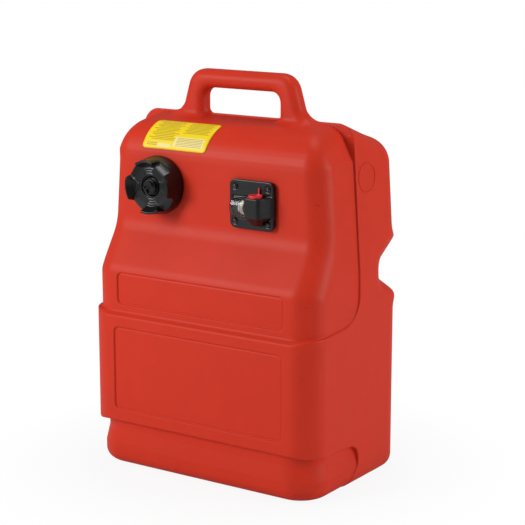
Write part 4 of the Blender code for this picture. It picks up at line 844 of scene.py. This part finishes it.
def mark(material, colour, factor):
    """Lay a colour over a material's own where the factor is one."""
    nodes, links = material.node_tree.nodes, material.node_tree.links
    principled = nodes["Principled BSDF"]
    under = principled.inputs["Base Color"].links[0].from_socket
    over = nodes.new("ShaderNodeMix")
    over.data_type = "RGBA"
    over.inputs["B"].default_value = (*colour, 1)
    links.new(under, over.inputs["A"])
    links.new(factor, over.inputs["Factor"])
    links.new(over.outputs["Result"], principled.inputs["Base Color"])


def object_place(material):
    """X, Y and Z sockets of the point in the piece's own frame, in metres."""
    nodes, links = material.node_tree.nodes, material.node_tree.links
    place, split = nodes.new("ShaderNodeTexCoord"), nodes.new("ShaderNodeSeparateXYZ")
    links.new(place.outputs["Object"], split.inputs[0])
    return split.outputs


DRUM_BAND_X = 5.2
DRUM_BAND_HALF = (2.4, 9)
DRUM_RULE_PITCH = 2.1
DRUM_RULE_HALF = (1.6, 0.4)
DRUM_STROKE_X = 1.4
DRUM_STROKE_HALF = (0.7, 4.8)


def mark_drum(material):
    """A pale band at the drum's right end, ruled darker, and one white line beside it."""
    x, _, z = object_place(material)
    middle_x, middle_z = (VALVE_CENTRE[0] + DRUM_AT[0]) * MM, (VALVE_CENTRE[2] + DRUM_AT[1]) * MM
    nodes, links = material.node_tree.nodes, material.node_tree.links
    band_x = middle_x + DRUM_BAND_X * MM
    band = [(band_x, middle_z, DRUM_BAND_HALF[0] * MM, DRUM_BAND_HALF[1] * MM)]
    mark(material, (0.6, 0.52, 0.46), strips(nodes, links, x, z, band))
    heights = [middle_z + step * DRUM_RULE_PITCH * MM for step in range(-4, 5)]
    lines = [(band_x, height, DRUM_RULE_HALF[0] * MM, DRUM_RULE_HALF[1] * MM) for height in heights]
    mark(material, (0.3, 0.26, 0.23), strips(nodes, links, x, z, lines))
    strokes = [(middle_x + DRUM_STROKE_X * MM, middle_z, DRUM_STROKE_HALF[0] * MM, DRUM_STROKE_HALF[1] * MM)]
    mark(material, (0.62, 0.62, 0.6), strips(nodes, links, x, z, strokes))


def mark_scale(material):
    """Dark ruled lines on the strip beside the drum."""
    x, _, z = object_place(material)
    middle_x, middle_z = (VALVE_CENTRE[0] + DRUM_AT[0] + 9) * MM, (VALVE_CENTRE[2] + DRUM_AT[1]) * MM
    boxes = [(middle_x, middle_z + step * 2.2 * MM, 2 * MM, (0.35 if step % 2 else 0.55) * MM)
             for step in range(-4, 5)]
    nodes, links = material.node_tree.nodes, material.node_tree.links
    mark(material, (0.08, 0.07, 0.06), strips(nodes, links, x, z, boxes))


def mark_label(material):
    """Plain ruled lines in two columns and a pale block with lines of its own."""
    nodes, links = material.node_tree.nodes, material.node_tree.links
    place, split = nodes.new("ShaderNodeUVMap"), nodes.new("ShaderNodeSeparateXYZ")
    place.uv_map = "ruling"
    links.new(place.outputs["UV"], split.inputs[0])
    u, v = split.outputs["X"], split.outputs["Y"]
    pale = strips(nodes, links, u, v, [(0.7, 0.24, 0.23, 0.15), (0.33, 0.12, 0.1, 0.05)])
    mark(material, (0.86, 0.74, 0.3), pale)
    lines = [(0.26 + 0.02 * (row % 2), 0.93 - 0.05 * row, 0.21 - 0.03 * (row % 3), 0.012)
             for row in range(14)]
    lines += [(0.74, 0.93 - 0.05 * row, 0.2 - 0.03 * (row % 2), 0.012) for row in range(9)]
    lines += [(0.71, 0.35 - 0.045 * row, 0.2, 0.008) for row in range(6)]
    lines += [(0.14, 0.16 - 0.05 * row, 0.08, 0.012) for row in range(2)]
    mark(material, (0.46, 0.33, 0.02), strips(nodes, links, u, v, lines))


TANK_RED = shader("tank red", (0.61, 0.034, 0.0135), 0.44, grain=0.05, grain_size=1.6, mottle=0.05,
                  specular=0.15)
CAP_BLACK = shader("cap black", (0.0045, 0.005, 0.005), 0.27, grain=0.02, grain_size=0.6, specular=0.4)
INSERT_BLACK = shader("insert black", (0.03, 0.03, 0.032), 0.5, grain=0.02)
SEAL_BLACK = shader("seal rubber", (0.012, 0.012, 0.012), 0.75, grain=0.02)
KNOB_BLACK = shader("knob black", (0.006, 0.006, 0.0063), 0.2, grain=0.02)
FITTING_BLACK = shader("fitting black", (0.005, 0.006, 0.0058), 0.3, grain=0.02, grain_size=0.6,
                       specular=0.4)
CLEAR = shader("clear plastic", (0.97, 0.96, 0.95), 0.06, transmission=1.0, rough_spread=0.02,
               bending=1.25)
DRUM_BLACK = shader("drum black", (0.015, 0.015, 0.016), 0.5, grain=0.02)
PALE = shader("pale scale", (0.72, 0.66, 0.56), 0.45, grain=0.01)
LABEL_YELLOW = shader("label yellow", (0.9, 0.66, 0.012), 0.42, grain=0.01, mottle=0.02, specular=0.3)
PLUG_RED = shader("plug red", (0.7, 0.015, 0.02), 0.35, grain=0.01)
STEEL = shader("steel", (0.6, 0.6, 0.6), 0.28, grain=0.01, metallic=1.0)
BRASS = shader("brass", (0.7, 0.48, 0.18), 0.3, grain=0.01, metallic=1.0)
SCREW_BLACK = shader("screw black", (0.006, 0.006, 0.0065), 0.15, grain=0.01, rough_spread=0.03,
                     specular=0.8)
FOAM = shader("float foam", (0.07, 0.06, 0.05), 0.8, grain=0.15, grain_size=0.8)
NATURAL = shader("natural plastic", (0.78, 0.77, 0.7), 0.45, grain=0.02)
mark_drum(DRUM_BLACK)
mark_scale(PALE)
mark_label(LABEL_YELLOW)


def stand_in(thing, material, slot, *nodes):
    """Dress a piece and hide the CAD nodes that it is drawn in place of."""
    dress(thing, material)
    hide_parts(*nodes)


def detailed_pieces():
    """The pieces that are drawn finer than their CAD nodes."""
    stand_in(tank_object(), TANK_RED, "tank_plastic", "tank_shell")
    dress(local_solid("neck_skin", neck_field, (-27, -27, -4.4), (27, 27, 15), 0.7, CAP_CENTRE, "tank"),
          TANK_RED)
    dress(local_solid("boss_skin", boss_field, (-32, -30, -12), (32, 30, 0), 0.8, VALVE_CENTRE, "tank"),
          TANK_RED)
    rings = [(160, 6, 369), (174, 50, 411)], [(-174, 6, 369), (-160, 50, 411)]
    for name, (low, high) in zip(("ring_right", "ring_left"), rings):
        dress(solid(name, ring_field, even(low, high, RELIEF_CELL), "tank"), TANK_RED)
    for name, (mark_x, mark_z) in zip(("mark_high", "mark_middle", "mark_low"), MARKS):
        low, high = (mark_x - 6, -HALF_DEPTH - 3, mark_z - 3), (mark_x + 6, -50, mark_z + 3)
        dress(solid(name, mark_field, even(low, high, RELIEF_CELL), "tank"), TANK_RED)
    stand_in(label_object(), LABEL_YELLOW, "label", "shoulder_label")
    cap = local_solid("cap_skin", cap_field, (-39, -39, 0), (39, 39, 36), 0.55, CAP_CENTRE, "fuel_cap")
    stand_in(cap, CAP_BLACK, "cap_plastic", "cap_shell")
    knob = local_solid("knob_skin", knob_field, (-11, -11, 10.8), (11, 11, 28), 0.3, CAP_CENTRE, "vent")
    stand_in(knob, KNOB_BLACK, "knob_plastic", "vent_knob")
    valve = local_solid("valve_skin", valve_field, (-34, -32, -17), (34, 32, 27), 0.6, VALVE_CENTRE, "tank")
    stand_in(valve, FITTING_BLACK, "fitting_plastic", "valve_body")
    lens = local_solid("lens_skin", lens_field, (-28, -18, 5.6), (-3, 11, 17), 0.4, VALVE_CENTRE,
                       "tank")
    stand_in(lens, CLEAR, "clear_plastic", "gauge_lens")
    plug = local_solid("plug_skin", plug_field, (2.6, 2, 6.4), (22.2, 23, 26), 0.4, VALVE_CENTRE, "plug")
    stand_in(plug, PLUG_RED, "plug_plastic", "port_plug")
    for index, (across, up) in enumerate(SCREW_AT, 1):
        centre = VALVE_CENTRE + np.array([across, 0, up])
        name, low, high = f"screw_skin_{index}", (-4.6, -4.6, -7), (4.6, 4.6, 10)
        screw = local_solid(name, screw_field, low, high, 0.28, centre, "tank")
        stand_in(screw, SCREW_BLACK, "screw_metal", f"valve_screw_{index}")


detailed_pieces()

NODE_LOOKS = {
    "cap_insert": (INSERT_BLACK, "insert_plastic"), "cap_gasket": (SEAL_BLACK, "seal_rubber"),
    "vent_o_ring": (SEAL_BLACK, "seal_rubber"), "vent_clip": (NATURAL, "clip_plastic"),
    "valve_gasket": (SEAL_BLACK, "seal_rubber"), "lens_seal": (SEAL_BLACK, "seal_rubber"),
    "gauge_scale": (PALE, "scale_plastic"), "gauge_drum": (DRUM_BLACK, "drum_plastic"),
    "gauge_pin": (STEEL, "steel"), "float_arm": (STEEL, "steel"), "gauge_float": (FOAM, "float_foam"),
    "pickup_tube": (NATURAL, "tube_plastic"), "pickup_strainer": (NATURAL, "strainer_plastic"),
}
for index in range(1, 5):
    NODE_LOOKS[f"screw_insert_{index}"] = (BRASS, "insert_brass")


def dress_nodes():
    """Give every CAD node that still shows its material and slightly eased edges."""
    for name, (material, slot) in NODE_LOOKS.items():
        node = frame["nodes"][name]
        dress(node, material)
        easing = node.modifiers.new("easing", "BEVEL")
        easing.width = 0.15 * MM
        easing.segments = 2
        easing.limit_method = "ANGLE"


dress_nodes()


def area_light(name, place, aim, size, power, colour=(1, 1, 1)):
    data = bpy.data.lights.new(name, "AREA")
    data.shape = "RECTANGLE"
    data.size, data.size_y = size
    data.energy = power
    data.color = colour
    light = bpy.data.objects.new(name, data)
    bpy.context.scene.collection.objects.link(light)
    light.location = place
    light.rotation_euler = (Vector(aim) - Vector(place)).to_track_quat("-Z", "Y").to_euler()


def floor():
    mesh = bpy.data.meshes.new("floor")
    reach = 20
    sides = ((-reach, -reach), (reach, -reach), (reach, reach), (-reach, reach))
    corners = [(x, y, -MM) for x, y in sides]
    mesh.from_pydata(corners, [], [(0, 1, 2, 3)])
    thing = bpy.data.objects.new("floor", mesh)
    bpy.context.scene.collection.objects.link(thing)
    material = bpy.data.materials.new("floor")
    material.use_nodes = True
    nodes, links = material.node_tree.nodes, material.node_tree.links
    principled = nodes["Principled BSDF"]
    principled.inputs["Base Color"].default_value = (0.75, 0.75, 0.75, 1)
    principled.inputs["Roughness"].default_value = 0.9
    principled.inputs["Specular IOR Level"].default_value = 0
    glow = nodes.new("ShaderNodeEmission")
    mix = nodes.new("ShaderNodeMixShader")
    rays = nodes.new("ShaderNodeLightPath")
    place = nodes.new("ShaderNodeNewGeometry")
    length = nodes.new("ShaderNodeVectorMath")
    length.operation = "LENGTH"
    far = nodes.new("ShaderNodeMapRange")
    far.inputs["From Min"].default_value = 0.18
    far.inputs["From Max"].default_value = 0.36
    far.inputs["To Min"].default_value = 0.9
    both = nodes.new("ShaderNodeMath")
    both.operation = "MULTIPLY"
    links.new(place.outputs["Position"], length.inputs[0])
    links.new(length.outputs["Value"], far.inputs["Value"])
    links.new(far.outputs["Result"], both.inputs[0])
    links.new(rays.outputs["Is Camera Ray"], both.inputs[1])
    links.new(both.outputs["Value"], mix.inputs["Fac"])
    links.new(principled.outputs["BSDF"], mix.inputs[1])
    links.new(glow.outputs["Emission"], mix.inputs[2])
    links.new(mix.outputs["Shader"], nodes["Material Output"].inputs["Surface"])
    mesh.materials.append(material)


def world():
    sky = bpy.data.worlds.new("studio")
    bpy.context.scene.world = sky
    sky.use_nodes = True
    nodes, links = sky.node_tree.nodes, sky.node_tree.links
    ambient = nodes["Background"]
    ambient.inputs["Color"].default_value = (1, 1, 1, 1)
    ambient.inputs["Strength"].default_value = 0.2
    white = nodes.new("ShaderNodeBackground")
    white.inputs["Color"].default_value = (1, 1, 1, 1)
    mix = nodes.new("ShaderNodeMixShader")
    rays = nodes.new("ShaderNodeLightPath")
    links.new(rays.outputs["Is Camera Ray"], mix.inputs["Fac"])
    links.new(ambient.outputs["Background"], mix.inputs[1])
    links.new(white.outputs["Background"], mix.inputs[2])
    links.new(mix.outputs["Shader"], nodes["World Output"].inputs["Surface"])


def camera():
    data = bpy.data.cameras.new("photo")
    data.lens = 113.435
    data.sensor_width = 36
    data.clip_start = 0.05
    data.clip_end = 100
    thing = bpy.data.objects.new("photo", data)
    bpy.context.scene.collection.objects.link(thing)
    thing.location = (1.18348, -1.71396, 0.72043)
    aim = Vector((0.019315, 0.013020, 0.267793)) - thing.location
    thing.rotation_euler = aim.to_track_quat("-Z", "Y").to_euler()
    bpy.context.scene.camera = thing


floor()
world()
area_light("key", (-0.9, -1.55, 0.95), (0, 0, 0.32), (0.8, 0.8), 23)
area_light("glint", (-0.5, -1.5, 1.7), (0, 0, 0.35), (0.16, 0.16), 3.5)
area_light("side", (2.0, 0.6, 0.8), (0.1, 0, 0.28), (0.7, 1.2), 24)
area_light("top", (0.1, 0.2, 2.0), (0, 0, 0.3), (0.8, 0.8), 8.5)
camera()
bpy.context.scene.view_settings.view_transform = "Standard"
